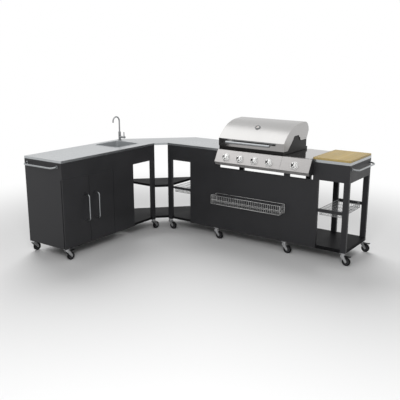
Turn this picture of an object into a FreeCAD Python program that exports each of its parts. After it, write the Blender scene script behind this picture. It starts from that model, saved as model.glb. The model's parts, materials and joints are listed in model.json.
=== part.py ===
import FreeCAD, Part
import math
import os
import Sketcher

# Outdoor kitchen island in millimetres: an L of two wings on casters. The sink wing runs along -Y and faces
# +X, the grill wing runs along +X and faces -Y. Lengths below are written from the point where the planes of
# the two fronts cross, and every piece is moved so that the origin lies under the middle of the whole island.

Vector = FreeCAD.Vector
Rotation = FreeCAD.Rotation

DIMENSIONS = {
    # worktops and cabinet carcass
    "worktop_height": 900.0,
    "worktop_edge": 21.0,
    "sheet_wall": 1.5,
    "cabinet_underside": 105.0,
    "wing_depth": 480.0,
    "corner_cut": 96.0,
    "sink_wing_length": 1333.0,
    "sink_cabinet_width": 630.0,
    "sink_bay_width": 276.0,
    "side_unit_width": 628.0,
    "grill_bay_width": 234.0,
    "grill_width": 702.0,
    "side_burner_width": 234.0,
    "trolley_width": 335.0,
    "post_width": 50.0,
    "corner_post_width": 50.0,
    "post_depth": 28.0,
    "post_wall": 2.0,
    "panel_depth": 14.0,
    "apron_height": 148.0,
    "trolley_apron_height": 152.5,
    "front_panel_drop": 180.0,
    "shelf_top": 136.0,
    "shelf_edge": 24.0,
    "middle_shelf_top": 466.0,
    "middle_shelf_edge": 24.0,
    # rails that carry the wire baskets
    "trolley_rail_top": 468.0,
    "trolley_rail_height": 28.0,
    "bay_rail_top": 452.0,
    "bay_rail_height": 20.0,
    "rail_depth": 12.0,
    "rail_setback": 8.0,
    # doors of the sink cabinet
    "door_gap": 4.0,
    "door_pin_inset": 6.0,
    "door_pin_radius": 3.0,
    "door_pin_length": 9.0,
    "door_sill": 3.0,
    "running_clearance": 0.05,
    "seat_clearance": 0.3,
    "handle_bottom": 326.0,
    "handle_length": 236.0,
    "handle_reach": 62.0,
    "handle_radius": 6.0,
    "handle_bend": 24.0,
    "handle_inset": 61.0,
    # sink and tap
    "bowl_length": 320.0,
    "bowl_width": 300.0,
    "bowl_depth": 125.0,
    "bowl_corner": 34.0,
    "bowl_front_margin": 112.0,
    "bowl_end_margin": 106.0,
    "bowl_wall": 1.2,
    "bowl_rim": 12.0,
    "drain_radius": 20.0,
    "drain_length": 60.0,
    "hose_hole_radius": 50.0,
    "tap_back_margin": 40.0,
    "tap_end_margin": 34.0,
    "tap_base_radius": 24.0,
    "tap_base_height": 6.0,
    "tap_column_radius": 14.0,
    "tap_column_height": 86.0,
    "spout_radius": 7.5,
    "spout_seat": 22.0,
    "spout_bend": 46.0,
    "spout_rise": 197.0,
    "spout_drop": 10.0,
    "nozzle_depth": 14.0,
    "lever_axis_height": 31.0,
    "lever_hub_radius": 12.0,
    "lever_hub_start": 50.0,
    "lever_hub_end": 72.0,
    "lever_spindle_radius": 4.0,
    "lever_spindle_length": 12.0,
    "lever_pin_radius": 5.0,
    "lever_pin_top": 86.0,
    # towel bars
    "bar_reach": 60.0,
    "bar_radius": 7.5,
    "bar_bend": 40.0,
    "bar_below_top": 55.0,
    "bar_drop": 8.0,
    "bar_inset": 40.0,
    "sink_bar_front_inset": 52.0,
    "bar_foot_radius": 13.0,
    "bar_foot_depth": 4.0,
    # grill
    "panel_setback": 18.0,
    "panel_flat": 18.0,
    "panel_face_reach": 95.0,
    "panel_top_rise": 3.0,
    "panel_face_drop": 107.0,
    "panel_lip_reach": 75.0,
    "panel_bottom_drop": 137.0,
    "panel_end_inset": 10.0,
    "panel_seam": 1.2,
    "cheek_wall": 3.0,
    "firebox_inset": 15.0,
    "firebox_wall": 2.0,
    "firebox_floor_drop": 130.0,
    "firebox_rim_rise": 36.0,
    "firebox_rim_edge": 6.0,
    "firebox_end_wall": 3.0,
    "firebox_lean": 55.0,
    "ear_back": 26.0,
    "ear_slope": 60.0,
    "ear_top_rise": 163.0,
    "ear_front_top": 160.0,
    "ear_front_foot": 80.0,
    "ledge_depth": 15.0,
    "hood_pin_length": 5.0,
    "grill_shift": 5.0,
    "hood_width": 692.0,
    "hood_front": 18.0,
    "hood_bottom_rise": 37.0,
    "hood_band_height": 71.0,
    "hood_crown_start": 276.0,
    "hood_crown_rise": 264.0,
    "hood_crown_radius": 414.0,
    "hood_back_start": 385.0,
    "hood_back_rise": 270.0,
    "hood_back_radius": 88.0,
    "hood_back_depth": 472.0,
    "hood_back_bottom_rise": 183.0,
    "hood_tongue_back": 434.0,
    "hood_tongue_front": 298.0,
    "hood_tongue_rise": 105.0,
    "hood_tongue_radius": 27.0,
    "hood_notch_back": 262.0,
    "hood_notch_front": 190.0,
    "hood_notch_rise": 158.0,
    "hood_notch_radius": 14.0,
    "hood_shoulder": 30.0,
    "hood_shoulder_radius": 45.0,
    "hood_cheek_foot": 60.0,
    "hood_pin_depth": 415.0,
    "hood_pin_rise": 120.0,
    "hood_pin_radius": 5.0,
    "hood_handle_length": 460.0,
    "hood_handle_radius": 12.0,
    "hood_handle_reach": 55.0,
    "hood_handle_rise": 84.0,
    "hood_foot_radius": 7.0,
    "hood_foot_inset": 24.0,
    "gauge_radius": 28.0,
    "gauge_depth": 8.0,
    "gauge_bezel": 5.0,
    "gauge_bevel": 2.5,
    "grate_rise": 25.0,
    "grate_bar": 6.0,
    "grate_rod": 7.0,
    "grate_gap": 0.9,
    "burner_radius": 14.0,
    "burner_drop": 70.0,
    "burner_margin": 60.0,
    "firebox_bend_drop": 21.0,
    "tamer_width": 110.0,
    "tamer_rise": 26.0,
    "tamer_gap": 1.0,
    "knob_spacing": 152.5,
    "knob_row_drop": 12.0,
    "knob_radius": 29.0,
    "knob_skirt": 6.0,
    "knob_neck_radius": 23.0,
    "knob_crown_radius": 17.0,
    "knob_depth": 24.0,
    "knob_stem_radius": 4.0,
    "knob_stem_length": 24.0,
    "knob_grip_width": 9.0,
    "knob_grip_length": 42.0,
    "knob_grip_height": 7.0,
    "bezel_radius": 38.0,
    "bezel_depth": 4.0,
    "manifold_radius": 8.0,
    "inlet_radius": 6.0,
    "inlet_drop": 105.0,
    "inlet_length": 110.0,
    "inlet_bend": 16.0,
    "valve_setback": 14.4,
    "manifold_overhang": 16.0,
    "valve_radius": 10.0,
    "valve_length": 26.0,
    "grease_tray_depth": 26.0,
    "grease_tray_margin": 70.0,
    "slot_inset": 210.0,
    "side_lid_rise": 5.0,
    "side_lid_depth": 12.0,
    "side_lid_gap": 3.0,
    "side_pan_drop": 55.0,
    "strap_height": 20.0,
    "side_pan_gap": 4.0,
    "side_knuckle": 55.0,
    "side_pin_radius": 4.0,
    "side_loop_radius": 6.0,
    "ring_burner_radius": 50.0,
    "ring_burner_tube": 9.0,
    # chopping board and trolley tray
    "tray_height": 24.0,
    "board_thickness": 18.0,
    "board_corner": 8.0,
    "board_edge": 2.4,
    "tray_overhang": 10.0,
    # wire goods
    "rack_bottom": 376.0,
    "rack_height": 88.0,
    "rack_reach": 104.0,
    "rack_end": 22.0,
    "rack_start": 28.0,
    "basket_wire": 3.0,
    "basket_frame": 5.0,
    "basket_depth": 58.0,
    "basket_side_gap": 16.0,
    "basket_gap": 0.9,
    "bay_basket_length": 470.0,
    # casters
    "wheel_radius": 37.5,
    "wheel_width": 26.0,
    "wheel_rim_radius": 27.0,
    "wheel_dish": 5.0,
    "wheel_hub_radius": 8.0,
    "tread_width": 12.0,
    "tread_fall": 3.0,
    "caster_trail": 35.0,
    "caster_front_inset": 6.0,
    "caster_back_inset": 18.0,
    "axle_radius": 4.0,
    "fork_wall": 2.5,
    "fork_clearance": 2.0,
    "fork_head_radius": 17.0,
    "fork_bridge": 89.0,
    "fork_foot": 8.0,
    "fork_foot_radius": 9.0,
    "swivel_radius": 6.0,
    "mount_plate": 3.0,
    "pedal_length": 62.0,
    "pedal_width": 24.0,
    "pedal_thickness": 5.0,
    "pedal_pin_radius": 3.0,
    "pedal_boss_radius": 5.375,
}

KNOB_COUNT = 4
RACK_WIRES = 37
BASKET_WIRES = 22
BAY_WIRES = 26
TROLLEY_WIRES = 10
RACK_END_WIRES = 5
FLOOR_ROWS = 3
GRATE_SECTIONS = 3
GRATE_RODS = 10
GRATE_RIBS = 2
CORNER_TURN = 45
BAND_MITRE = 1 / 3
TINY = 1e-6

document = FreeCAD.newDocument("OutdoorKitchen")
sheet = document.addObject("Spreadsheet::Sheet", "Sizes")
for row, (alias, value) in enumerate(DIMENSIONS.items(), start=1):
    sheet.set(f"A{row}", alias)
    sheet.set(f"B{row}", str(value))
    sheet.setAlias(f"B{row}", alias)
document.recompute()


class Size:
    """A length in millimetres, with the sheet expression that gives it."""

    def __init__(self, number, text):
        self.number = float(number)
        self.text = text

    def __add__(self, other):
        other = as_size(other)
        return Size(self.number + other.number, f"({self.text} + {other.text})")

    def __sub__(self, other):
        other = as_size(other)
        return Size(self.number - other.number, f"({self.text} - {other.text})")

    def __mul__(self, factor):
        return Size(self.number * factor, f"({self.text} * {factor})")

    def __truediv__(self, divisor):
        return Size(self.number / divisor, f"({self.text} / {divisor})")

    def __neg__(self):
        return Size(-self.number, f"(0 - {self.text})")


def as_size(value):
    """Turns a plain number into a Size."""
    return value if isinstance(value, Size) else Size(value, str(value))


def cell(alias):
    """The sheet's value of one alias, as a Size."""
    return Size(float(sheet.get(alias)), f"Sizes.{alias}")


def above(alias):
    """A height above the worktops' top."""
    return cell("worktop_height") + cell(alias)


def below(alias):
    """A height below the worktops' top."""
    return cell("worktop_height") - cell(alias)


ZERO = Size(0, "0")
sheet_wall = cell("sheet_wall")
under_worktop = cell("worktop_height") - cell("worktop_edge")
underside = cell("cabinet_underside")
depth = cell("wing_depth")
cut = cell("corner_cut")
post_depth = cell("post_depth")
panel_depth = cell("panel_depth")
clearance = cell("running_clearance")
seat = cell("seat_clearance")
apron_bottom = under_worktop - cell("apron_height")
trolley_apron_bottom = under_worktop - cell("trolley_apron_height")
door_back = panel_depth + cell("door_gap")

# Stations along the sink wing, from its far end towards the corner
sink_end = -cell("sink_wing_length")
sink_stile_end = sink_end + cell("sink_cabinet_width")
sink_stile_start = sink_stile_end - cell("post_width")
sink_corner_post = -(cut + cell("corner_post_width"))
sink_bay_start = sink_corner_post - cell("sink_bay_width")

# Stations along the grill wing, from the corner outwards
bay_start = cut + cell("corner_post_width")
bay_end = bay_start + cell("grill_bay_width")
side_unit_end = cut + cell("side_unit_width")
side_unit_post = side_unit_end - cell("post_width")
grill_end = side_unit_end + cell("grill_width")
grill_post_end = grill_end + cell("post_width")
trolley_start = grill_post_end + cell("side_burner_width")
trolley_end = trolley_start + cell("trolley_width")
trolley_post_end = trolley_start + cell("post_width")
trolley_post_start = trolley_end - cell("post_width")
tray_start = trolley_start - cell("tray_overhang")
grill_middle = (side_unit_end + grill_end) / 2 + cell("grill_shift")

# The island's outermost points are the worktops' backs and the two towel bars
centre_x = (trolley_end + cell("bar_reach") - depth) / 2
centre_y = (depth + sink_end - cell("bar_reach")) / 2

nodes = []


def bind(item, name, value):
    """Ties one property of an object to the sheet."""
    item.setExpression(name, as_size(value).text)


def place(item, x, y, z, rotation=None):
    """Puts an object at a point of the island, tied to the sheet."""
    x, y, z = as_size(x) - centre_x, as_size(y) - centre_y, as_size(z)
    spot = Vector(x.number, y.number, z.number)
    item.Placement = FreeCAD.Placement(spot, rotation or Rotation())
    bind(item, "Placement.Base.x", x)
    bind(item, "Placement.Base.y", y)
    bind(item, "Placement.Base.z", z)
    return item


def node(label, item):
    """Names a finished sub-part."""
    item.Label = label
    nodes.append(item)
    return item


def group(label, items):
    """Names several separate solids as one sub-part."""
    bundle = document.addObject("Part::Compound", label)
    bundle.Links = items
    return node(label, bundle)


def fuse(name, items):
    joined = document.addObject("Part::MultiFuse", name)
    joined.Shapes = items
    joined.Refine = True
    return joined


def cut_from(name, base, tool):
    hollow = document.addObject("Part::Cut", name)
    hollow.Base = base
    hollow.Tool = tool
    return hollow


def local_box(name, x, y, z):
    """A box between the (low, high) pairs in its own frame."""
    block = document.addObject("Part::Box", name)
    bind(block, "Length", as_size(x[1]) - x[0])
    bind(block, "Width", as_size(y[1]) - y[0])
    bind(block, "Height", as_size(z[1]) - z[0])
    for key, value in zip("xyz", (x[0], y[0], z[0])):
        bind(block, f"Placement.Base.{key}", value)
    return block


def box(name, x, y, z):
    """A box between the (low, high) pairs of the island."""
    x = (as_size(x[0]) - centre_x, as_size(x[1]) - centre_x)
    y = (as_size(y[0]) - centre_y, as_size(y[1]) - centre_y)
    return local_box(name, x, y, z)


def rod(name, radius, length, axis, spot=None):
    """A cylinder that starts at a point of the island, or at its own origin, and runs along an axis."""
    cylinder = document.addObject("Part::Cylinder", name)
    bind(cylinder, "Radius", radius)
    bind(cylinder, "Height", length)
    turn = Rotation(Vector(0, 0, 1), axis)
    if spot is None:
        cylinder.Placement = FreeCAD.Placement(Vector(), turn)
        return cylinder
    return place(cylinder, *spot, rotation=turn)


def local_rod(name, radius, length, axis, spot):
    """A cylinder that starts at a point of a sub-part's own frame."""
    cylinder = rod(name, radius, length, axis)
    for key, value in zip("xyz", spot):
        bind(cylinder, f"Placement.Base.{key}", value)
    return cylinder


def tray(name, x, y, z, wall, open_side):
    """A folded sheet: a box hollowed from one side, such as "-z" for a worktop."""
    outer = box(name + "_outside", x, y, z)
    ranges = {"x": x, "y": y, "z": z}
    inner = {}
    for key, (low, high) in ranges.items():
        low, high = as_size(low), as_size(high)
        inner[key] = [low + wall, high - wall]
        if open_side == "-" + key:
            inner[key][0] = low - wall
        if open_side == "+" + key:
            inner[key][1] = high + wall
    hollow = box(name + "_inside", inner["x"], inner["y"], inner["z"])
    return cut_from(name, outer, hollow)


def post(name, x, y, z):
    """A rectangular tube that stands upright."""
    wall = cell("post_wall")
    outer = box(name + "_outside", x, y, z)
    hollow = box(
        name + "_inside",
        (as_size(x[0]) + wall, as_size(x[1]) - wall),
        (as_size(y[0]) + wall, as_size(y[1]) - wall),
        (as_size(z[0]) - wall, as_size(z[1]) + wall),
    )
    return cut_from(name, outer, hollow)


SIDE_VIEW = Rotation(Vector(1, 1, 1), 120)
FRONT_VIEW = Rotation(Vector(1, 0, 0), 90)


def sketch_outline(sketch, points, closed=True):
    """Draws lines and arcs through points, each tied to the sheet.

    A point is (across, up), and (across, up, radius) where an arc leads to it. The radius is negative for an
    arc that bulges to the right of the way it goes.
    """
    count = len(points)
    spots = [Vector(as_size(point[0]).number, as_size(point[1]).number, 0) for point in points]
    last = count if closed else count - 1
    ends = []
    for index in range(last):
        start, end = spots[index], spots[(index + 1) % count]
        target = points[(index + 1) % count]
        if len(target) == 2:
            line = sketch.addGeometry(Part.LineSegment(start, end))
            ends.append((line, 1, 2))
            continue
        radius = as_size(target[2])
        chord = end - start
        reach = abs(radius.number)
        rise = reach - math.sqrt(reach**2 - (chord.Length / 2) ** 2)
        side = Vector(-chord.y, chord.x, 0).normalize() * rise * math.copysign(1, radius.number)
        clockwise = radius.number > 0
        first, second = (end, start) if clockwise else (start, end)
        arc = sketch.addGeometry(Part.Arc(first, (start + end) / 2 + side, second))
        ends.append((arc, 2, 1) if clockwise else (arc, 1, 2))
        bend = sketch.addConstraint(Sketcher.Constraint("Radius", arc, reach))
        sketch.renameConstraint(bend, f"bend_{index}")
        sketch.setExpression(
            f"Constraints.bend_{index}", radius.text if radius.number > 0 else (-radius).text
        )
    for index in range(last):
        geometry, start_point, end_point = ends[index]
        if closed or index < last - 1:
            following = ends[(index + 1) % last]
            sketch.addConstraint(
                Sketcher.Constraint("Coincident", geometry, end_point, following[0], following[1])
            )
        fix_point(sketch, geometry, start_point, points[index], index)
    if not closed:
        geometry, _, end_point = ends[-1]
        fix_point(sketch, geometry, end_point, points[-1], last)
    return sketch


def fix_point(sketch, geometry, vertex, point, index):
    """Ties one vertex of a sketch to its place."""
    for kind, value in (("DistanceX", point[0]), ("DistanceY", point[1])):
        value = as_size(value)
        rule = sketch.addConstraint(Sketcher.Constraint(kind, -1, 1, geometry, vertex, value.number))
        name = f"{kind}_{index}"
        sketch.renameConstraint(rule, name)
        sketch.setExpression(f"Constraints.{name}", value.text)


def drawing(name, points, closed=True):
    """A sketch by itself, for sheet metal sections."""
    return sketch_outline(document.addObject("Sketcher::SketchObject", name), points, closed)


def section_along_x(name, points, start, length, closed=True, wall=None, side=1):
    """A section in Y and Z, run along X from a station. With a wall, an open line becomes folded sheet."""
    sketch = drawing(name + "_section", points, closed)
    base = sketch
    if wall is not None:
        base = document.addObject("Part::Offset2D", name + "_sheet")
        base.Source = sketch
        base.Value = wall.number * side
        bind(base, "Value", wall if side > 0 else -wall)
        base.Mode = "Skin"
        base.Join = "Intersection"
        base.Fill = True
    bar = document.addObject("Part::Extrusion", name)
    bar.Base = base
    bar.DirMode = "Custom"
    bar.Dir = Vector(0, 0, 1)
    bar.Solid = True
    bind(bar, "LengthFwd", length)
    return place(bar, start, ZERO, ZERO, SIDE_VIEW)


def new_body(name):
    return document.addObject("PartDesign::Body", name)


def body_sketch(body, name, plane, points, lift=None):
    """A closed sketch on one of a body's own origin planes."""
    sketch = body.newObject("Sketcher::SketchObject", name)
    origin = [item for item in body.Origin.OriginFeatures if item.Role == plane][0]
    sketch.AttachmentSupport = [(origin, "")]
    sketch.MapMode = "FlatFace"
    if lift is not None:
        sketch.setExpression("AttachmentOffset.Base.z", as_size(lift).text)
    return sketch_outline(sketch, points)


def pad(body, name, sketch, length):
    feature = body.newObject("PartDesign::Pad", name)
    feature.Profile = sketch
    bind(feature, "Length", length)
    return feature


def pocket(body, name, sketch, length, backwards=False):
    feature = body.newObject("PartDesign::Pocket", name)
    feature.Profile = sketch
    feature.Reversed = backwards
    bind(feature, "Length", length)
    return feature


def turned(name, points):
    """A body turned about its own Z axis from a half section in X and Z."""
    body = new_body(name)
    sketch = body_sketch(body, name + "_half", "XZ_Plane", points)
    feature = body.newObject("PartDesign::Revolution", name + "_turning")
    feature.Profile = sketch
    feature.ReferenceAxis = (sketch, ["V_Axis"])
    feature.Angle = 360
    return body


def rounded_rectangle(x, y, corner):
    """Points of a rectangle with round corners, anticlockwise."""
    (west, east), (south, north) = x, y
    inward = -corner
    return [
        (west + corner, south, inward),
        (east - corner, south),
        (east, south + corner, inward),
        (east, north - corner),
        (east - corner, north, inward),
        (west + corner, north),
        (west, north - corner, inward),
        (west, south + corner),
    ]


def feature_from(name, shape, spot=(ZERO, ZERO, ZERO)):
    """A shape that no parametric feature gives, such as a bent tube, placed in the island."""
    item = document.addObject("Part::Feature", name)
    item.Shape = shape
    return place(item, *spot)


def bent_tube(points, radius, bend):
    """A tube through points in millimetres, with one bend radius at each inner point."""
    edges = []
    start = points[0]
    for before, corner, after in zip(points, points[1:], points[2:]):
        arriving = (corner - before).normalize()
        leaving = (after - corner).normalize()
        half_turn = arriving.getAngle(leaving) / 2
        setback = bend * math.tan(half_turn)
        arc_start = corner - arriving * setback
        arc_end = corner + leaving * setback
        inward = (leaving - arriving).normalize()
        middle = corner + inward * (bend / math.cos(half_turn) - bend)
        if (arc_start - start).Length > TINY:
            edges.append(Part.LineSegment(start, arc_start).toShape())
        edges.append(Part.Arc(arc_start, middle, arc_end).toShape())
        start = arc_end
    if (points[-1] - start).Length > TINY:
        edges.append(Part.LineSegment(start, points[-1]).toShape())
    path = Part.Wire(edges)
    circle = Part.Wire([Part.Circle(points[0], points[1] - points[0], radius).toShape()])
    return path.makePipeShell([circle], True, False)


def grid(width, height, thickness, frame, wire, columns, rows=1):
    """A flat mesh in X and Y: one sheet with a gap between each pair of wires."""
    outline = Part.makePolygon(
        [Vector(0, 0), Vector(width, 0), Vector(width, height), Vector(0, height), Vector(0, 0)]
    )
    gap_x = (width - 2 * frame - (columns - 1) * wire) / columns
    gap_y = (height - 2 * frame - (rows - 1) * wire) / rows
    gaps = []
    for column in range(columns):
        for line in range(rows):
            west = frame + column * (gap_x + wire)
            south = frame + line * (gap_y + wire)
            corners = [
                Vector(west, south),
                Vector(west + gap_x, south),
                Vector(west + gap_x, south + gap_y),
                Vector(west, south + gap_y),
                Vector(west, south),
            ]
            gaps.append(Part.Wire(Part.makePolygon(corners)))
    face = Part.makeFace([Part.Wire(outline)] + gaps, "Part::FaceMakerBullseye")
    return face.extrude(Vector(0, 0, thickness))


UPRIGHT = Rotation(Vector(1, 0, 0), 90)
SIDEWAYS = Rotation(Vector(0, 0, 1), 90).multiply(UPRIGHT)


def net(name, sizes, spot, wires, turn=None):
    """One flat net of a wire piece: (width, height), its corner in the island, (columns, rows) of gaps."""
    width, height = sizes
    columns, rows = wires
    wire, frame = cell("basket_wire").number, cell("basket_frame").number
    mesh = grid(width.number, height.number, wire, frame, wire, columns, rows)
    item = document.addObject("Part::Feature", name)
    item.Shape = mesh
    return place(item, *spot, rotation=turn)


def net_box(name, x, y, z, along_x, along_y, skip=()):
    """Nets that touch round an open-topped box between (low, high) pairs: floor, front, back and two ends."""
    wire = cell("basket_wire")
    length, span, height = x[1] - x[0], y[1] - y[0], z[1] - z[0]
    inner = (length - wire * 2, span - wire * 2)
    low, high = z
    nets = [
        net(f"{name}_front", (length, height), (x[0], y[0] + wire, low), (along_x, 1), UPRIGHT),
        net(f"{name}_left", (inner[1], height), (x[0], y[0] + wire, low), (along_y, 1), SIDEWAYS),
        net(f"{name}_right", (inner[1], height), (x[1] - wire, y[0] + wire, low), (along_y, 1), SIDEWAYS),
        net(f"{name}_floor", inner, (x[0] + wire, y[0] + wire, low), (along_x, FLOOR_ROWS)),
    ]
    if "back" not in skip:
        nets.append(net(f"{name}_back", (length, height), (x[0], y[1], low), (along_x, 1), UPRIGHT))
    return nets


# Frame and cabinets


def front_and_back(name, stations, top, along_x, behind_doors=False):
    """A pair of posts on one station of a wing, one at the front and one at the back."""
    front = (ZERO, post_depth) if along_x else (-post_depth, ZERO)
    back = (depth - post_depth, depth) if along_x else (-depth, post_depth - depth)
    front_top = top
    if behind_doors:
        front = (-post_depth, -door_back)
        front_top = apron_bottom
    pair = []
    for side, across, end in (("front", front, front_top), ("back", back, top)):
        x, y = (stations, across) if along_x else (across, stations)
        pair.append(post(f"{name}_{side}", x, y, (underside, end)))
    return pair


def basket_rails(name, stations, setback, top, height):
    """Two bars along X between the posts, which carry a wire basket."""
    thick = cell("rail_depth")
    front = box(name + "_front", stations, (setback, setback + thick), (top - height, top))
    back = box(name + "_back", stations, (depth - setback - thick, depth - setback), (top - height, top))
    return [front, back]


def door_pins():
    """Pins that stand on the sill and hang from the apron, on which the two doors turn."""
    inset = cell("door_gap") + cell("door_pin_inset")
    radius, length = cell("door_pin_radius"), cell("door_pin_length")
    pins = []
    stations = (sink_end + inset, sink_stile_end - inset)
    for index, station in enumerate(stations):
        for side, bottom in (("low", underside + cell("door_sill")), ("high", apron_bottom - length)):
            spot = (-panel_depth / 2, station, bottom)
            pins.append(rod(f"door_pin_{side}_{index}", radius, length, Vector(0, 0, 1), spot))
    return pins


def make_frame():
    """Upright posts of all units, with the rails for the wire baskets and the door pins."""
    width = cell("post_width")
    posts = []
    posts += front_and_back("sink_end_post", (sink_end, sink_end + width), under_worktop, False, True)
    posts += front_and_back("sink_stile", (sink_stile_start, sink_stile_end), apron_bottom, False, True)
    posts += front_and_back("sink_corner_post", (sink_corner_post, -cut), under_worktop, False)
    posts += front_and_back("bay_post", (cut, bay_start), under_worktop, True)
    posts += front_and_back("side_unit_post", (side_unit_post, side_unit_end), under_worktop, True)
    posts += front_and_back("grill_post", (grill_end, grill_post_end), below("side_pan_drop"), True)
    posts += front_and_back("trolley_inner_post", (trolley_start, trolley_post_end), under_worktop, True)
    posts += front_and_back("trolley_outer_post", (trolley_post_start, trolley_end), under_worktop, True)
    bay_rails = basket_rails(
        "bay_rail", (bay_start, side_unit_post), panel_depth, cell("bay_rail_top"), cell("bay_rail_height")
    )
    trolley_rails = basket_rails(
        "trolley_rail",
        (trolley_post_end, trolley_post_start),
        cell("rail_setback"),
        cell("trolley_rail_top"),
        cell("trolley_rail_height"),
    )
    group("frame_posts", posts + bay_rails + trolley_rails + door_pins())


def make_cladding():
    """Aprons under the worktops, fixed panels, cabinet walls, grill bearers and the grill's dark cheeks."""
    wall = sheet_wall
    low, top = underside, under_worktop
    face, back = (-panel_depth, ZERO), (-depth, panel_depth - depth)
    ends = (sink_end + cell("post_width"), sink_corner_post)
    pieces = [
        tray(
            "sink_apron", (-post_depth, ZERO), (sink_end, sink_corner_post), (apron_bottom, top), wall, "-x"
        ),
        tray("sink_back_apron", back, (sink_stile_end, sink_corner_post), (apron_bottom, top), wall, "+x"),
        tray("sink_fixed_panel", face, (sink_stile_end, sink_bay_start), (low, apron_bottom), wall, "-x"),
        tray("sink_back_panel", back, (ends[0], sink_stile_start), (low, top), wall, "+x"),
        tray(
            "sink_end_panel",
            (post_depth - depth, -post_depth),
            (sink_end, sink_end + panel_depth),
            (low, top),
            wall,
            "+y",
        ),
        box(
            "sink_partition",
            (post_depth - depth, -post_depth),
            (sink_stile_end - wall, sink_stile_end),
            (cell("shelf_top"), top),
        ),
        box("sink_sill", (-door_back, ZERO), (sink_end, sink_stile_end), (low, low + cell("door_sill"))),
        box(
            "sink_back_stretcher",
            back,
            (sink_stile_start, sink_stile_end),
            (apron_bottom, top),
        ),
    ]
    front, rear = (ZERO, panel_depth), (depth - panel_depth, depth)
    bay = (bay_start, side_unit_post)
    pieces += [
        tray("bay_apron", bay, front, (apron_bottom, top), wall, "+y"),
        tray("bay_back_apron", bay, rear, (apron_bottom, top), wall, "-y"),
        tray("bay_fixed_panel", (bay_end, side_unit_post), front, (low, apron_bottom), wall, "+y"),
        tray(
            "grill_front_panel",
            (side_unit_end, grill_end),
            front,
            (low, below("front_panel_drop")),
            wall,
            "+y",
        ),
        tray(
            "side_burner_front_panel",
            (grill_post_end, trolley_start),
            front,
            (low, below("front_panel_drop")),
            wall,
            "+y",
        ),
    ]
    inner = (trolley_post_end, trolley_post_start)
    sides = (post_depth, depth - post_depth)
    pieces += [
        tray("trolley_apron", inner, front, (trolley_apron_bottom, top), wall, "+y"),
        tray("trolley_back_apron", inner, rear, (trolley_apron_bottom, top), wall, "-y"),
        tray(
            "trolley_side_apron",
            (trolley_end - panel_depth, trolley_end),
            sides,
            (trolley_apron_bottom, top),
            wall,
            "-x",
        ),
        tray(
            "trolley_inner_apron",
            (trolley_start, trolley_start + panel_depth),
            sides,
            (trolley_apron_bottom, top),
            wall,
            "+x",
        ),
    ]
    pieces += grill_bearers()
    pieces += grill_cheeks()
    group("cladding", pieces)


def grill_bearers():
    """Straps from front to back posts that carry the firebox, and rails that carry the side burner."""
    inset = cell("firebox_inset")
    strap = cell("strap_height")
    height = below("burner_drop")
    rail_top = below("side_pan_drop")
    left = box("bearer_left", (side_unit_end, side_unit_end + inset), (ZERO, depth), (height - strap, height))
    right_start = firebox_right()
    right = box("bearer_right", (right_start, grill_end), (ZERO, depth), (height - strap, height))
    span = (grill_post_end, trolley_start)
    front = box("pan_rail_front", span, (ZERO, cell("rail_depth")), (rail_top - strap, rail_top))
    back = box("pan_rail_back", span, (depth - cell("rail_depth"), depth), (rail_top - strap, rail_top))
    return [left, right, front, back]


def panel_section(reach=ZERO):
    """The control panel's section in Y and Z: a flat top, a leaning face and a lip folded under."""
    setback = cell("panel_setback")
    return [
        (-setback, above("panel_top_rise")),
        (-(setback + cell("panel_flat")), above("panel_top_rise")),
        (-cell("panel_face_reach"), below("panel_face_drop")),
        (-cell("panel_lip_reach"), below("panel_bottom_drop")),
        (reach, below("panel_bottom_drop")),
    ]


def grill_cheeks():
    """Dark cheeks that close the two ends of the control panel."""
    outline = panel_section() + [(ZERO, above("panel_top_rise") - cell("panel_flat"))]
    wall = cell("cheek_wall")
    left_start = side_unit_end + cell("panel_end_inset")
    return [
        section_along_x("cheek_left", outline, left_start, wall),
        section_along_x("cheek_right", outline, trolley_start, wall),
    ]


def make_shelves():
    """Bottom shelves of every unit, with a hole for the sink's hoses, and the corner's middle shelf."""
    wall = sheet_wall
    top, edge = cell("shelf_top"), cell("shelf_edge")
    between = (post_depth, depth - post_depth)
    span = (post_depth - depth, -post_depth)
    sink_shelf = tray("sink_shelf", span, (sink_end + panel_depth, -cut), (top - edge, top), wall, "-z")
    spot = (*bowl_centre(), top - edge)
    hose_hole = rod("hose_hole", cell("hose_hole_radius"), edge, Vector(0, 0, 1), spot)
    pieces = [
        cut_from("sink_shelf_bored", sink_shelf, hose_hole),
        tray("bay_shelf", (cut, side_unit_end), between, (top - edge, top), wall, "-z"),
        tray("grill_shelf", (side_unit_end, trolley_start), between, (top - edge, top), wall, "-z"),
        tray("trolley_shelf", (trolley_start, trolley_end), between, (underside, top), wall, "-z"),
    ]
    pieces += shelf_lips(top - edge, top)
    middle_top, middle_edge = cell("middle_shelf_top"), cell("middle_shelf_edge")
    pieces.append(corner_slab("corner_shelf", top - edge, edge, wall))
    pieces.append(corner_slab("corner_middle_shelf", middle_top - middle_edge, middle_edge, wall))
    group("shelves", pieces)


def shelf_lips(bottom, top):
    """Folded strips between the posts that bring the bottom shelves flush with the open fronts and backs."""
    sink_front, sink_back = (-post_depth, ZERO), (-depth, post_depth - depth)
    front, back = (ZERO, post_depth), (depth - post_depth, depth)
    inner = (trolley_post_end, trolley_post_start)
    spans = (
        ("sink_bay_lip_front", sink_front, (sink_bay_start, sink_corner_post), bottom),
        ("sink_bay_lip_back", sink_back, (sink_stile_end, sink_corner_post), bottom),
        ("bay_lip_front", (bay_start, bay_end), front, bottom),
        ("bay_lip_back", (bay_start, side_unit_post), back, bottom),
        ("grill_lip_back", (side_unit_end, grill_end), back, bottom),
        ("side_burner_lip_back", (grill_post_end, trolley_start), back, bottom),
        ("trolley_lip_front", inner, front, underside),
        ("trolley_lip_back", inner, back, underside),
    )
    return [tray(name, x, y, (low, top), sheet_wall, "-z") for name, x, y, low in spans]


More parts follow.
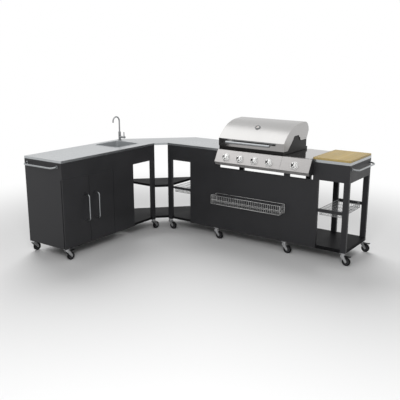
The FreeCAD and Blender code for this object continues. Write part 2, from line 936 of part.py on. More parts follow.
def corner_points(inset):
    """The corner's four-sided outline: its two ends lie against the wings, square to their fronts."""
    slant = inset * math.tan(math.radians(CORNER_TURN) / 2)
    return [
        (slant, inset - cut),
        (cut - inset, -slant),
        (cut - inset, depth - inset - slant),
        (inset + slant - depth, inset - cut),
    ]


def corner_slab(name, bottom, thick, wall):
    """A shelf or worktop of folded sheet that fills the corner."""
    body = new_body(name)
    outside = body_sketch(body, name + "_outline", "XY_Plane", corner_points(ZERO))
    pad(body, name + "_pad", outside, thick)
    document.recompute()
    inside = body_sketch(body, name + "_hollow", "XY_Plane", corner_points(wall))
    pocket(body, name + "_pocket", inside, thick - wall, True)
    return place(body, ZERO, ZERO, bottom)


# Worktops, sink and tap


def bowl_span(grow=ZERO):
    """The bowl's cut-out in the sink wing's worktop, as X and Y ranges."""
    east = -cell("bowl_front_margin")
    north = -(cut + cell("bowl_end_margin"))
    x = (east - cell("bowl_width") - grow, east + grow)
    y = (north - cell("bowl_length") - grow, north + grow)
    return x, y


def bowl_centre():
    """The middle of the bowl, where the waste pipe leaves it, as X and Y."""
    x, y = bowl_span()
    return (x[0] + x[1]) / 2, (y[0] + y[1]) / 2


def make_sink_worktop():
    """The sink wing's worktop: folded sheet with a round-cornered cut-out for the bowl."""
    top, edge = cell("worktop_height"), cell("worktop_edge")
    body = new_body("sink_worktop_body")
    outline = [(-depth, sink_end), (ZERO, sink_end), (ZERO, -cut), (-depth, -cut)]
    pad(body, "sink_worktop_pad", body_sketch(body, "sink_worktop_outline", "XY_Plane", outline), edge)
    document.recompute()
    wall = sheet_wall
    inside = [
        (wall - depth, sink_end + wall),
        (-wall, sink_end + wall),
        (-wall, -cut - wall),
        (wall - depth, -cut - wall),
    ]
    hollow = body_sketch(body, "sink_worktop_hollow", "XY_Plane", inside)
    pocket(body, "sink_worktop_pocket", hollow, edge - wall, True)
    document.recompute()
    x, y = bowl_span()
    hole = body_sketch(body, "sink_worktop_hole", "XY_Plane", rounded_rectangle(x, y, cell("bowl_corner")))
    pocket(body, "sink_worktop_cut_out", hole, edge + wall, True)
    place(body, ZERO, ZERO, top - edge)
    node("sink_worktop", body)


def make_worktops():
    """The corner worktop, the grill wing's worktop and the steel tray that the chopping board lies in."""
    top, edge = cell("worktop_height"), cell("worktop_edge")
    corner = corner_slab("corner_worktop", top - edge, edge, sheet_wall)
    side = tray("side_worktop", (cut, side_unit_end), (ZERO, depth), (top - edge, top), sheet_wall, "-z")
    board_seat = tray(
        "board_tray",
        (tray_start, trolley_end),
        (ZERO, depth),
        (top - edge, top - edge + cell("tray_height")),
        sheet_wall,
        "-z",
    )
    group("worktops", [corner, side, board_seat])


def make_sink_basin():
    """A pressed bowl that hangs by its rim in the worktop, with the waste pipe below it."""
    wall, rim, corner = cell("bowl_wall"), cell("bowl_rim"), cell("bowl_corner")
    bowl_depth = cell("bowl_depth")
    body = new_body("sink_basin_body")
    outside = rounded_rectangle(*bowl_span(-seat), corner - seat)
    drop = body_sketch(body, "basin_outline", "XY_Plane", outside, -bowl_depth)
    pad(body, "basin_drop", drop, bowl_depth)
    document.recompute()
    flange = rounded_rectangle(*bowl_span(rim), corner + rim)
    lip = body_sketch(body, "basin_lip_outline", "XY_Plane", flange)
    pad(body, "basin_lip", lip, wall)
    document.recompute()
    inside = rounded_rectangle(*bowl_span(-seat - wall), corner - seat - wall)
    hollow = body_sketch(body, "basin_hollow_outline", "XY_Plane", inside, wall - bowl_depth)
    pocket(body, "basin_hollow", hollow, bowl_depth + wall, True)
    place(body, ZERO, ZERO, cell("worktop_height"))
    centre = bowl_centre()
    pipe, length = cell("drain_radius"), cell("drain_length")
    bottom = cell("worktop_height") - bowl_depth
    tube = rod("waste_outside", pipe, length, Vector(0, 0, 1), (*centre, bottom - length))
    bore = rod(
        "waste_inside",
        pipe - cell("post_wall"),
        wall + length + wall + wall,
        Vector(0, 0, 1),
        (*centre, bottom - length - wall),
    )
    node("sink_basin", cut_from("sink_basin_cut", fuse("sink_basin_fused", [body, tube]), bore))


def tap_spot():
    return cell("tap_back_margin") - depth, -(cut + cell("tap_end_margin"))


def make_tap():
    """A tall tap: a fixed column with a side valve, a swivelling spout and a lever on the valve."""
    x, y = tap_spot()
    top = cell("worktop_height")
    base, column, height = cell("tap_base_radius"), cell("tap_column_radius"), cell("tap_column_height")
    socket = cell("spout_radius") + clearance
    half = [
        (ZERO, ZERO),
        (base, ZERO),
        (base, cell("tap_base_height") / 2),
        (column, cell("tap_base_height")),
        (column, height),
        (socket, height),
        (socket, height - cell("spout_seat")),
        (ZERO, height - cell("spout_seat")),
    ]
    stand = place(turned("tap_stand", half), x, y, top)
    axis_height = top + cell("lever_axis_height")
    valve = rod(
        "tap_valve", cell("lever_hub_radius"), cell("lever_hub_start"), Vector(1, 0, 0), (x, y, axis_height)
    )
    body = fuse("tap_body_solid", [stand, valve])
    spindle = cell("lever_spindle_length")
    bore = rod(
        "tap_valve_bore",
        cell("lever_spindle_radius") + clearance,
        spindle + seat * 2,
        Vector(1, 0, 0),
        (x + cell("lever_hub_start") - spindle - seat, y, axis_height),
    )
    node("tap_body", cut_from("tap_body_bored", body, bore))

    reach = cell("spout_bend").number
    foot = (height - cell("spout_seat") + seat).number
    rise = cell("spout_rise").number
    outlet = rise - cell("spout_drop").number
    crown = rise + reach
    path = [
        Vector(0, 0, foot),
        Vector(0, 0, crown),
        Vector(0, -2 * reach, crown),
        Vector(0, -2 * reach, outlet),
    ]
    tube = bent_tube(path, cell("spout_radius").number, reach)
    nozzle = Part.makeCylinder(
        cell("spout_radius").number - cell("post_wall").number,
        cell("nozzle_depth").number,
        Vector(0, -2 * reach, outlet - clearance.number),
        Vector(0, 0, 1),
    )
    node("tap_spout", feature_from("tap_spout_tube", tube.cut(nozzle), (x, y, top)))

    hub_start = cell("lever_hub_start") + seat
    hub = rod(
        "lever_hub",
        cell("lever_hub_radius"),
        cell("lever_hub_end") - hub_start,
        Vector(1, 0, 0),
        (x + hub_start, y, axis_height),
    )
    shaft = rod(
        "lever_spindle",
        cell("lever_spindle_radius"),
        spindle + seat * 2,
        Vector(1, 0, 0),
        (x + cell("lever_hub_start") - spindle, y, axis_height),
    )
    pin_x = x + (hub_start + cell("lever_hub_end")) / 2
    pin = rod(
        "lever_pin",
        cell("lever_pin_radius"),
        cell("lever_pin_top") - cell("lever_axis_height"),
        Vector(0, 0, 1),
        (pin_x, y, axis_height),
    )
    node("tap_lever", fuse("tap_lever_solid", [hub, shaft, pin]))


def make_towel_bars():
    """A bow-shaped towel bar on each end of the island, on two round feet."""
    radius = cell("bar_radius").number
    reach = cell("bar_reach").number - radius
    foot, foot_radius = cell("bar_foot_depth").number, cell("bar_foot_radius").number
    drop = cell("bar_drop").number
    inset = cell("bar_inset")
    bars = []
    places = (
        (
            "sink",
            (inset - depth, sink_end, below("bar_below_top")),
            Rotation(),
            depth - inset - cell("sink_bar_front_inset"),
        ),
        (
            "trolley",
            (trolley_end, inset, below("bar_below_top")),
            Rotation(Vector(0, 0, 1), 90),
            depth - inset - cell("post_depth"),
        ),
    )
    for name, spot, turn, span in places:
        length = span.number
        inner = -foot / 2
        shape = [
            Vector(0, inner, 0),
            Vector(0, -reach, -drop),
            Vector(length, -reach, -drop),
            Vector(length, inner, 0),
        ]
        bow = bent_tube(shape, radius, cell("bar_bend").number)
        tube = document.addObject("Part::Feature", name + "_towel_tube")
        feet = [
            Part.makeCylinder(foot_radius, foot, Vector(station, 0, 0), Vector(0, -1, 0))
            for station in (0, length)
        ]
        tube.Shape = bow.fuse(feet)
        bars.append(place(tube, *spot, rotation=turn))
    group("towel_bars", bars)


# Doors


def make_doors():
    """Two folded steel doors over the posts, on pins at their outer corners, each with a bow handle."""
    gap = cell("door_gap")
    bottom, top = underside + cell("door_sill") + gap / 4, apron_bottom - gap / 4
    start, end = sink_end + gap, sink_stile_end - gap
    middle = (start + end) / 2
    wall = sheet_wall
    hole = cell("door_pin_radius") + clearance
    inset = cell("door_pin_inset")
    for side, y, pin_y in (
        ("left", (start, middle - gap / 2), start + inset),
        ("right", (middle + gap / 2, end), end - inset),
    ):
        skin = tray(f"door_{side}_skin", (-panel_depth, ZERO), y, (bottom, top), wall, "-x")
        blocks = []
        bores = []
        for level, z in (("low", (bottom, bottom + inset * 2)), ("high", (top - inset * 2, top))):
            block_y = (pin_y - inset, pin_y + inset)
            blocks.append(box(f"door_{side}_block_{level}", (-panel_depth, ZERO), block_y, z))
            bore_start = bottom - inset / 2 if level == "low" else top - cell("door_pin_length")
            spot = (-panel_depth / 2, pin_y, bore_start)
            bore_length = cell("door_pin_length") + inset / 2
            bores.append(rod(f"door_{side}_bore_{level}", hole, bore_length, Vector(0, 0, 1), spot))
        solid = fuse(f"door_{side}_solid", [skin] + blocks)
        node(f"door_{side}", cut_from(f"door_{side}_bored", solid, fuse(f"door_{side}_bores", bores)))

    reach, radius = cell("handle_reach"), cell("handle_radius")
    shape = bent_tube(
        [
            Vector(0, 0, 0),
            Vector(reach.number, 0, 0),
            Vector(reach.number, 0, cell("handle_length").number),
            Vector(0, 0, cell("handle_length").number),
        ],
        radius.number,
        cell("handle_bend").number,
    )
    for side, sign in (("left", -1), ("right", 1)):
        spot = (ZERO, middle + cell("handle_inset") * sign, cell("handle_bottom"))
        node(f"handle_{side}", feature_from(f"handle_{side}_tube", shape, spot))


# Grill


def firebox_left():
    return side_unit_end + cell("firebox_inset")


def firebox_right():
    return grill_hood_start() * 2 + cell("hood_width") - firebox_left()


def grill_hood_start():
    return grill_middle - cell("hood_width") / 2


def firebox_section():
    """The firebox's wrap in Y and Z, from its front rim down, across the floor and up the back."""
    front, back = -(cell("panel_setback") - cell("firebox_wall")), depth - panel_depth
    floor, rim, bend = below("firebox_floor_drop"), above("firebox_rim_rise"), below("firebox_bend_drop")
    lean = cell("firebox_lean")
    return [
        (front, rim),
        (front, bend),
        (front + lean, floor),
        (back - lean, floor),
        (back, bend),
        (back, rim - cell("firebox_rim_edge")),
    ]


def firebox_span():
    """The outer faces of the firebox's upright front and back, in Y."""
    section = firebox_section()
    return section[0][0], section[-1][0]


def make_firebox():
    """Folded wrap with two end plates that rise into the hood's cut-outs and hold its hinge pins."""
    start, end = firebox_left(), firebox_right()
    thick = cell("firebox_end_wall")
    wall = cell("firebox_wall")
    section = firebox_section()
    wrap = section_along_x("firebox_wrap", section, start + thick, end - start - thick * 2, False, wall, -1)
    hood_pin = (cell("hood_pin_depth"), above("hood_pin_rise"))
    rim, ear_top = above("firebox_rim_rise"), above("ear_top_rise")
    outline = section + [
        (hood_pin[0] + cell("ear_back"), rim),
        (hood_pin[0] + cell("ear_back"), hood_pin[1]),
        (hood_pin[0] - cell("ear_slope"), ear_top),
        (cell("ear_front_top"), ear_top),
        (cell("ear_front_foot"), rim),
    ]
    plates = []
    for name, spot in (("firebox_left_plate", start), ("firebox_right_plate", end - thick)):
        plates.append(section_along_x(name, outline, spot, thick))
    ledge = above("grate_rise") - cell("grate_bar") - cell("grate_rod")
    shelf_depth = cell("ledge_depth")
    front, back = firebox_span()
    inner = (start + thick, end - thick)
    ledges = [
        box("grate_ledge_front", inner, (front + wall, front + wall + shelf_depth), (ledge - wall, ledge)),
        box("grate_ledge_back", inner, (back - wall - shelf_depth, back - wall), (ledge - wall, ledge)),
    ]
    pin_radius, pin_length = cell("hood_pin_radius"), cell("hood_pin_length")
    pins = [
        rod("hood_pin_left", pin_radius, pin_length, Vector(-1, 0, 0), (start, *hood_pin)),
        rod("hood_pin_right", pin_radius, pin_length, Vector(1, 0, 0), (end, *hood_pin)),
    ]
    runner_z = below("firebox_floor_drop") - cell("grease_tray_depth")
    runners = []
    margin = cell("grease_tray_margin")
    along = (margin, depth - margin)
    floor = below("firebox_floor_drop")
    lip_z = (runner_z - wall * 2, runner_z - wall)
    for name, low, high in (
        ("runner_left", start + margin, start + margin + shelf_depth),
        ("runner_right", end - margin - shelf_depth, end - margin),
    ):
        lip = box(name + "_lip", (low, high), along, lip_z)
        web_x = (low, low + wall) if name == "runner_left" else (high - wall, high)
        web = box(name + "_web", web_x, along, (lip_z[0], floor))
        runners += [lip, web]
    whole = fuse("firebox_solid", [wrap] + plates + ledges + pins + runners)
    slot = box(
        "firebox_slot",
        (start + cell("slot_inset"), end - cell("slot_inset")),
        (depth / 2 - shelf_depth, depth / 2 + shelf_depth),
        (floor - wall, floor + wall * 2),
    )
    node("firebox", cut_from("firebox_slotted", whole, slot))


def make_grease_tray():
    """A shallow tray under the firebox that slides out to the back."""
    start, end = firebox_left(), firebox_right()
    margin, wall = cell("grease_tray_margin"), cell("firebox_wall")
    top = below("firebox_floor_drop") - wall
    bottom = below("firebox_floor_drop") - cell("grease_tray_depth") - wall + seat
    side = wall + seat
    x = (start + margin + side, end - margin - side)
    node(
        "grease_tray",
        tray("grease_tray_pan", x, (margin, depth - margin), (bottom, top - seat), sheet_wall, "+z"),
    )


def make_hood():
    """The roll-top lid: one curved skin over two end panels, cut out over the firebox's end plates."""
    wall = sheet_wall
    front, low = -cell("hood_front"), above("hood_bottom_rise")
    band = low + cell("hood_band_height")
    crown_radius, back_radius = cell("hood_crown_radius"), cell("hood_back_radius")
    crown = (cell("hood_crown_start"), above("hood_crown_rise"))
    back = (cell("hood_back_start"), above("hood_back_rise"))
    rear = (cell("hood_back_depth"), above("hood_back_bottom_rise"))
    skin_line = [(front, low), (front, band), (*crown, crown_radius), back, (*rear, back_radius)]
    start = grill_hood_start()
    inside = [
        (rear[0] - wall, rear[1]),
        (back[0], back[1] - wall, wall - back_radius),
        (crown[0], crown[1] - wall),
        (front + wall, band - wall * BAND_MITRE, wall - crown_radius),
        (front + wall, low),
    ]
    skin = section_along_x("hood_skin", skin_line + inside, start, cell("hood_width"))
    pin_y, pin_z = cell("hood_pin_depth"), above("hood_pin_rise")
    tongue, notch = above("hood_tongue_rise"), above("hood_notch_rise")
    tip, nook = cell("hood_tongue_radius"), cell("hood_notch_radius")
    shoulder = cell("hood_shoulder")
    tongue_front = cell("hood_tongue_front")
    notch_back, notch_front = cell("hood_notch_back"), cell("hood_notch_front")
    outline = skin_line + [
        (cell("hood_tongue_back"), tongue),
        (tongue_front + tip, tongue),
        (tongue_front, tongue + tip, tip),
        (notch_back + nook, notch - nook),
        (notch_back, notch, -nook),
        (notch_front, notch),
        (notch_front - shoulder, notch - shoulder, -cell("hood_shoulder_radius")),
        (cell("hood_cheek_foot"), low),
    ]
    panels = []
    end = start + cell("hood_width")
    for name, spot in (("hood_left_panel", start), ("hood_right_panel", end - wall)):
        panels.append(section_along_x(name, outline, spot, wall))
    solid = fuse("hood_solid", [skin] + panels)
    bore = rod(
        "hood_hinge_bore",
        cell("hood_pin_radius") + clearance,
        cell("hood_width") + wall * 2,
        Vector(1, 0, 0),
        (start - wall, pin_y, pin_z),
    )
    node("hood", cut_from("hood_bored", solid, bore))


def make_hood_handle():
    """A straight bar on two feet, with the round gauge that sits on the crown of the hood."""
    middle = grill_middle
    half = cell("hood_handle_length") / 2
    y = -(cell("hood_front") + cell("hood_handle_reach"))
    z = above("hood_handle_rise")
    bar = rod("hood_bar", cell("hood_handle_radius"), half * 2, Vector(1, 0, 0), (middle - half, y, z))
    feet = []
    for name, sign in (("left", -1), ("right", 1)):
        x = middle + (half - cell("hood_foot_inset")) * sign
        reach = cell("hood_handle_reach")
        feet.append(rod(f"hood_foot_{name}", cell("hood_foot_radius"), reach, Vector(0, 1, 0), (x, y, z)))
    group("hood_handle", [fuse("hood_handle_solid", [bar] + feet), gauge_piece()])


def arc_centre(start, end, radius):
    """The centre of an arc that bulges up between two points in Y and Z."""
    chord = end - start
    inward = Vector(chord.y, -chord.x, 0).normalize()
    return (start + end) / 2 + inward * math.sqrt(radius**2 - (chord.Length / 2) ** 2)


def gauge_piece():
    """The round temperature gauge, square to the curve of the hood."""
    band = (above("hood_bottom_rise") + cell("hood_band_height")).number
    start = Vector(-cell("hood_front").number, band)
    end = Vector(cell("hood_crown_start").number, above("hood_crown_rise").number)
    radius = cell("hood_crown_radius").number
    centre = arc_centre(start, end, radius)
    middle = ((start + end) / 2 - centre).normalize()
    crest = centre + middle * radius
    y, z = as_size(crest.x), as_size(crest.y)
    bezel, bevel = cell("gauge_bezel"), cell("gauge_bevel")
    half = [
        (ZERO, ZERO),
        (cell("gauge_radius"), ZERO),
        (cell("gauge_radius"), cell("gauge_depth") - bevel),
        (cell("gauge_radius") - bevel, cell("gauge_depth")),
        (cell("gauge_radius") - bezel, cell("gauge_depth")),
        (cell("gauge_radius") - bezel - bevel, cell("gauge_depth") - bevel),
        (ZERO, cell("gauge_depth") - bevel),
    ]
    body = turned("gauge_body", half)
    outward = Vector(0, middle.x, middle.y)
    return place(body, grill_middle, y, z, Rotation(Vector(0, 0, 1), outward))


def make_grates():
    """Three cast grates side by side: a frame with rods across it."""
    start, end = firebox_left() + cell("firebox_end_wall"), firebox_right() - cell("firebox_end_wall")
    wall = cell("firebox_wall")
    gap = cell("grate_gap")
    front, back = firebox_span()
    front, back = front + wall + gap, back - wall - gap
    width = (end - start).number / GRATE_SECTIONS - 2 * gap.number
    length = (back - front).number
    bar, thick = cell("grate_bar").number, cell("grate_rod").number
    mesh = grid(width, length, thick, bar * 2, bar, GRATE_RODS)
    ribs = []
    for index in range(GRATE_RIBS):
        station = length * (index + 1) / (GRATE_RIBS + 1)
        ribs.append(Part.makeBox(width, bar, bar, Vector(0, station, -bar / 2)))
    grate = mesh.fuse(ribs)
    z = above("grate_rise") - cell("grate_bar") - cell("grate_rod")
    grates = []
    for index in range(GRATE_SECTIONS):
        share = (end - start) * index / GRATE_SECTIONS
        grates.append(feature_from(f"grate_{index + 1}", grate, (start + share + gap, front, z)))
    group("cooking_grates", grates)


def knob_stations():
    """Stations of the four grill knobs and the side burner's knob along X."""
    spacing = cell("knob_spacing")
    stations = [grill_middle + spacing * (index - (KNOB_COUNT - 1) / 2) for index in range(KNOB_COUNT)]
    stations.append((grill_end + tray_start) / 2)
    return stations


def make_burners():
    """Tube burners under flame tamers, and the gas manifold with one valve for each knob."""
    section = firebox_section()
    margin = cell("burner_margin")
    wall = cell("firebox_wall")
    start_y, end_y = section[2][0], section[3][0]
    pieces = []
    radius = cell("burner_radius")
    z = below("burner_drop")
    foot_z = (below("firebox_floor_drop") + wall, z - radius + wall)
    for index, x in enumerate(knob_stations()[:KNOB_COUNT]):
        name = f"burner_{index + 1}"
        pieces.append(rod(name, radius, end_y - start_y, Vector(0, 1, 0), (x, start_y, z)))
        foot_x = (x - radius / 2, x + radius / 2)
        for side, y in (("front", start_y + margin / 2), ("back", end_y - margin / 2)):
            pieces.append(box(f"{name}_foot_{side}", foot_x, (y, y + wall * 2), foot_z))
    burners = fuse("burner_row", pieces)
    tamers = []
    half = cell("tamer_width") / 2
    level = below("firebox_bend_drop") + cell("tamer_gap")
    front, back = firebox_span()
    back = back - wall - wall / 2
    length = back - front - wall - wall / 2
    for index, x in enumerate(knob_stations()[:KNOB_COUNT]):
        tent = [(-half, ZERO), (ZERO, cell("tamer_rise")), (half, ZERO)]
        sketch = drawing(f"tamer_{index + 1}_section", tent, False)
        sheet_line = document.addObject("Part::Offset2D", f"tamer_{index + 1}_sheet")
        sheet_line.Source = sketch
        sheet_line.Value = wall.number
        bind(sheet_line, "Value", wall)
        sheet_line.Mode = "Skin"
        sheet_line.Join = "Intersection"
        sheet_line.Fill = True
        tamer = document.addObject("Part::Extrusion", f"tamer_{index + 1}")
        tamer.Base = sheet_line
        tamer.DirMode = "Custom"
        tamer.Dir = Vector(0, 0, 1)
        tamer.Solid = True
        bind(tamer, "LengthFwd", length)
        tamers.append(place(tamer, x, back, level, FRONT_VIEW))
    group("burners", [burners] + tamers + [gas_train()])


def face_frame():
    """The height of the knobs on the control panel's face, and the way the face looks, in Y and Z."""
    points = panel_section()
    top, bottom = points[1], points[2]
    middle_y = (top[0] + bottom[0]) / 2
    middle_z = (top[1] + bottom[1]) / 2
    run = Vector((bottom[0] - top[0]).number, (bottom[1] - top[1]).number).normalize()
    outward = Vector(0, run.y, -run.x)
    drop = cell("knob_row_drop")
    return middle_y + drop * run.x, middle_z + drop * run.y, outward


def gas_train():
    """A gas pipe behind the control panel with a bored valve for each knob's stem, and its inlet."""
    y, z, outward = face_frame()
    turn = Rotation(Vector(0, 0, 1), outward)
    stem, length, pipe = cell("knob_stem_length"), cell("valve_length"), cell("manifold_radius")
    inside = (cell("valve_setback") + length).number
    valve = outward * -inside
    valve_y, valve_z = y + valve.y, z + valve.z
    pipe_y = y + (outward * -(inside + pipe.number / 2)).y
    stations = knob_stations()
    drop_x = stations[-1] + cell("bezel_radius")
    start, end = stations[0] - cell("manifold_overhang"), drop_x + cell("manifold_overhang")
    pieces = [rod("manifold", pipe, end - start, Vector(1, 0, 0), (start, pipe_y, valve_z))]
    bores = []
    deep = outward * -(stem + seat).number
    bore = cell("knob_stem_radius") + clearance
    for index, x in enumerate(stations):
        spot = (x, valve_y, valve_z)
        pieces.append(place_rod(f"valve_{index + 1}", cell("valve_radius"), length, spot, turn))
        bores.append(place_rod(f"valve_bore_{index + 1}", bore, stem, (x, y + deep.y, z + deep.z), turn))
    fall = (valve_z - below("inlet_drop")).number
    elbow = [Vector(0, 0, 0), Vector(0, 0, -fall), Vector(0, cell("inlet_length").number, -fall)]
    inlet = bent_tube(elbow, cell("inlet_radius").number, cell("inlet_bend").number)
    pieces.append(feature_from("gas_inlet", inlet, (drop_x, pipe_y, valve_z)))
    return cut_from("gas_train", fuse("gas_train_solid", pieces), fuse("valve_bores", bores))


def place_rod(name, radius, length, spot, turn):
    """A cylinder at a point of the island with a given turn."""
    cylinder = document.addObject("Part::Cylinder", name)
    bind(cylinder, "Radius", radius)
    bind(cylinder, "Height", length)
    return place(cylinder, *spot, rotation=turn)


def make_control_panel():
    """The leaning stainless panels of the grill and the side burner, with a bezel round each knob's stem."""
    starts = (side_unit_end + cell("panel_end_inset") + cell("cheek_wall"), grill_end)
    ends = (grill_end - cell("panel_seam"), trolley_start)
    y, z, outward = face_frame()
    turn = Rotation(Vector(0, 0, 1), outward)
    hole = cell("knob_stem_radius") + clearance
    reach = cell("bezel_depth") * 2
    stations = knob_stations()
    pieces = []
    for side, start, end, knobs in (
        ("main", starts[0], ends[0], stations[:KNOB_COUNT]),
        ("side", starts[1], ends[1], stations[KNOB_COUNT:]),
    ):
        skin = section_along_x(f"{side}_panel", panel_section(), start, end - start, False, sheet_wall, -1)
        rings = []
        holes = []
        for index, x in enumerate(knobs):
            ring = document.addObject("Part::Cone", f"{side}_bezel_{index + 1}")
            bind(ring, "Radius1", cell("bezel_radius"))
            bind(ring, "Radius2", cell("bezel_radius") - cell("bezel_depth"))
            bind(ring, "Height", cell("bezel_depth"))
            rings.append(place(ring, x, y, z, turn))
            through = document.addObject("Part::Cylinder", f"{side}_stem_hole_{index + 1}")
            bind(through, "Radius", hole)
            bind(through, "Height", reach * 2)
            back = outward * -reach.number
            place(through, x, y + back.y, z + back.z, turn)
            holes.append(through)
        solid = fuse(f"{side}_panel_solid", [skin] + rings)
        tool = fuse(f"{side}_holes", holes) if len(holes) > 1 else holes[0]
        pieces.append(cut_from(f"{side}_panel_bored", solid, tool))
    group("control_panel", pieces)


def make_knobs():
    """Five round knobs with a raised grip bar, each on a stem that turns in the panel."""
    y, z, outward = face_frame()
    turn = Rotation(Vector(0, 0, 1), outward)
    radius, skirt, neck = cell("knob_radius"), cell("knob_skirt"), cell("knob_neck_radius")
    crown = cell("knob_crown_radius")
    base = cell("bezel_depth") + seat
    top = base + cell("knob_depth")
    stem = cell("knob_stem_radius")
    half = [
        (ZERO, -cell("knob_stem_length")),
        (stem, -cell("knob_stem_length")),
        (stem, base),
        (radius, base),
        (radius, base + skirt / 2),
        (neck, base + skirt + skirt / 2, -skirt),
        (neck, top - skirt),
        (crown, top, -skirt),
        (ZERO, top),
    ]
    for index, x in enumerate(knob_stations()):
        body = turned(f"knob_{index + 1}_body", half)
        document.recompute()
        long, wide = cell("knob_grip_length") / 2, cell("knob_grip_width") / 2
        bar = [(-wide, -long), (wide, -long), (wide, long), (-wide, long)]
        grip = body_sketch(body, f"knob_{index + 1}_grip", "XY_Plane", bar, top - skirt)
        pad(body, f"knob_{index + 1}_bar", grip, skirt + cell("knob_grip_height"))
        place(body, x, y, z, turn)
        node(f"knob_{index + 1}", body)


def side_burner_span():
    return grill_end + cell("side_pan_gap"), tray_start - cell("side_lid_gap")


def make_side_burner():
    """A steel pan with a ring burner and pan supports, closed by a flat lid that is hinged at the back."""
    start, end = side_burner_span()
    front = -cell("panel_setback")
    top, bottom = above("side_lid_rise") - cell("side_lid_depth"), below("side_pan_drop")
    gap = cell("side_lid_gap")
    pan = tray("side_pan", (start, end), (front, depth), (bottom, top - seat), sheet_wall, "+z")
    pin = cell("side_pin_radius")
    loop_radius = cell("side_loop_radius")
    hinge_y, hinge_z = depth - pin * 2, above("side_lid_rise") - loop_radius
    ring = document.addObject("Part::Torus", "ring_burner")
    bind(ring, "Radius1", cell("ring_burner_radius"))
    bind(ring, "Radius2", cell("ring_burner_tube"))
    middle = ((start + end) / 2, (front + depth) / 2)
    ring_z = bottom + sheet_wall + cell("ring_burner_tube")
    place(ring, *middle, ring_z)
    lid_y = (front + gap, hinge_y - loop_radius)
    lid_x = (start + gap, end - gap)
    knuckle = cell("side_knuckle")
    foot, pin_length = knuckle / 3, knuckle * 2 / 3
    node_parts = [pan, ring]
    for name, x in (("left", lid_x[0]), ("right", lid_x[1] - knuckle)):
        block_z = (top - seat, hinge_z + pin)
        block = box(f"side_hinge_{name}_foot", (x, x + foot), (hinge_y - pin, depth), block_z)
        spot = (x + foot, hinge_y, hinge_z)
        hinge_pin = rod(f"side_hinge_{name}_pin", pin, pin_length, Vector(1, 0, 0), spot)
        node_parts.append(fuse(f"side_hinge_{name}", [block, hinge_pin]))
    group("side_burner", node_parts)

    skin = tray("side_lid_skin", lid_x, lid_y, (top, above("side_lid_rise")), sheet_wall, "-z")
    loops = []
    bores = []
    for name, x in (("left", lid_x[0]), ("right", lid_x[1] - knuckle)):
        loop_start = x + foot + seat
        arm_y = (lid_y[1] - sheet_wall, hinge_y)
        arm_z = (hinge_z - pin / 2, hinge_z + pin / 2)
        loops.append(box(f"side_lid_arm_{name}", (loop_start, x + knuckle), arm_y, arm_z))
        spot = (loop_start, hinge_y, hinge_z)
        length = pin_length - seat
        loops.append(rod(f"side_lid_loop_{name}", loop_radius - seat, length, Vector(1, 0, 0), spot))
        bore_spot = (x + foot / 2, hinge_y, hinge_z)
        bores.append(rod(f"side_lid_bore_{name}", pin + clearance, knuckle, Vector(1, 0, 0), bore_spot))
    solid = fuse("side_lid_solid", [skin] + loops)
    node("side_burner_lid", cut_from("side_lid_bored", solid, fuse("side_lid_bores", bores)))


# Wire goods and chopping board


def make_spice_rack():
    """A wire rack on the grill's front, fixed to the posts beside it."""
    start, end = side_unit_post + cell("rack_start"), grill_end + cell("rack_end")
    low, high = cell("rack_bottom"), cell("rack_bottom") + cell("rack_height")
    reach = (-cell("rack_reach"), ZERO)
    group("spice_rack", net_box("rack", (start, end), reach, (low, high), RACK_WIRES, RACK_END_WIRES))


def wire_basket(name, x, rail_top, setback, along_x):
    """A wire basket between the rails, with four hooks that lie over them."""
    wire, frame = cell("basket_wire"), cell("basket_frame")
    inner = setback + cell("rail_depth") + cell("basket_gap")
    y = (inner, depth - inner)
    pieces = net_box(name, x, y, (rail_top - cell("basket_depth"), rail_top), along_x, BASKET_WIRES)
    front_hook = (setback, inner + wire)
    back_hook = (depth - inner - wire, depth - setback)
    for side, hook_x in (("left", (x[0], x[0] + frame)), ("right", (x[1] - frame, x[1]))):
        for end, hook_y in (("front", front_hook), ("back", back_hook)):
            pieces.append(box(f"{name}_hook_{side}_{end}", hook_x, hook_y, (rail_top, rail_top + wire)))
    return pieces


def make_baskets():
    """The wire basket of the corner bay and the one of the trolley, each hooked over its rails."""
    gap = cell("basket_side_gap")
    bay_x = (bay_start + gap, bay_start + gap + cell("bay_basket_length"))
    group("corner_basket", wire_basket("bay_basket", bay_x, cell("bay_rail_top"), panel_depth, BAY_WIRES))
    trolley_x = (trolley_post_end + gap, trolley_post_start - gap)
    rail_top, setback = cell("trolley_rail_top"), cell("rail_setback")
    group("trolley_basket", wire_basket("small_basket", trolley_x, rail_top, setback, TROLLEY_WIRES))


def make_cutting_board():
    """A solid wooden board with rounded corners that lies on the trolley's tray."""
    body = new_body("cutting_board_body")
    outline = rounded_rectangle((tray_start, trolley_end), (ZERO, depth), cell("board_corner"))
    sketch = body_sketch(body, "board_outline", "XY_Plane", outline)
    slab = pad(body, "board_pad", sketch, cell("board_thickness"))
    document.recompute()
    edges = [f"Edge{index + 1}" for index, edge in enumerate(slab.Shape.Edges) if is_level(edge)]
    rounding = body.newObject("PartDesign::Fillet", "board_rounding")
    rounding.Base = (slab, edges)
    bind(rounding, "Radius", cell("board_edge"))
    place(body, ZERO, ZERO, under_worktop + cell("tray_height"))
    node("cutting_board", body)


def is_level(edge):
    """Whether an edge lies flat."""
    low, high = edge.BoundBox.ZMin, edge.BoundBox.ZMax
    return high - low < TINY


# Casters


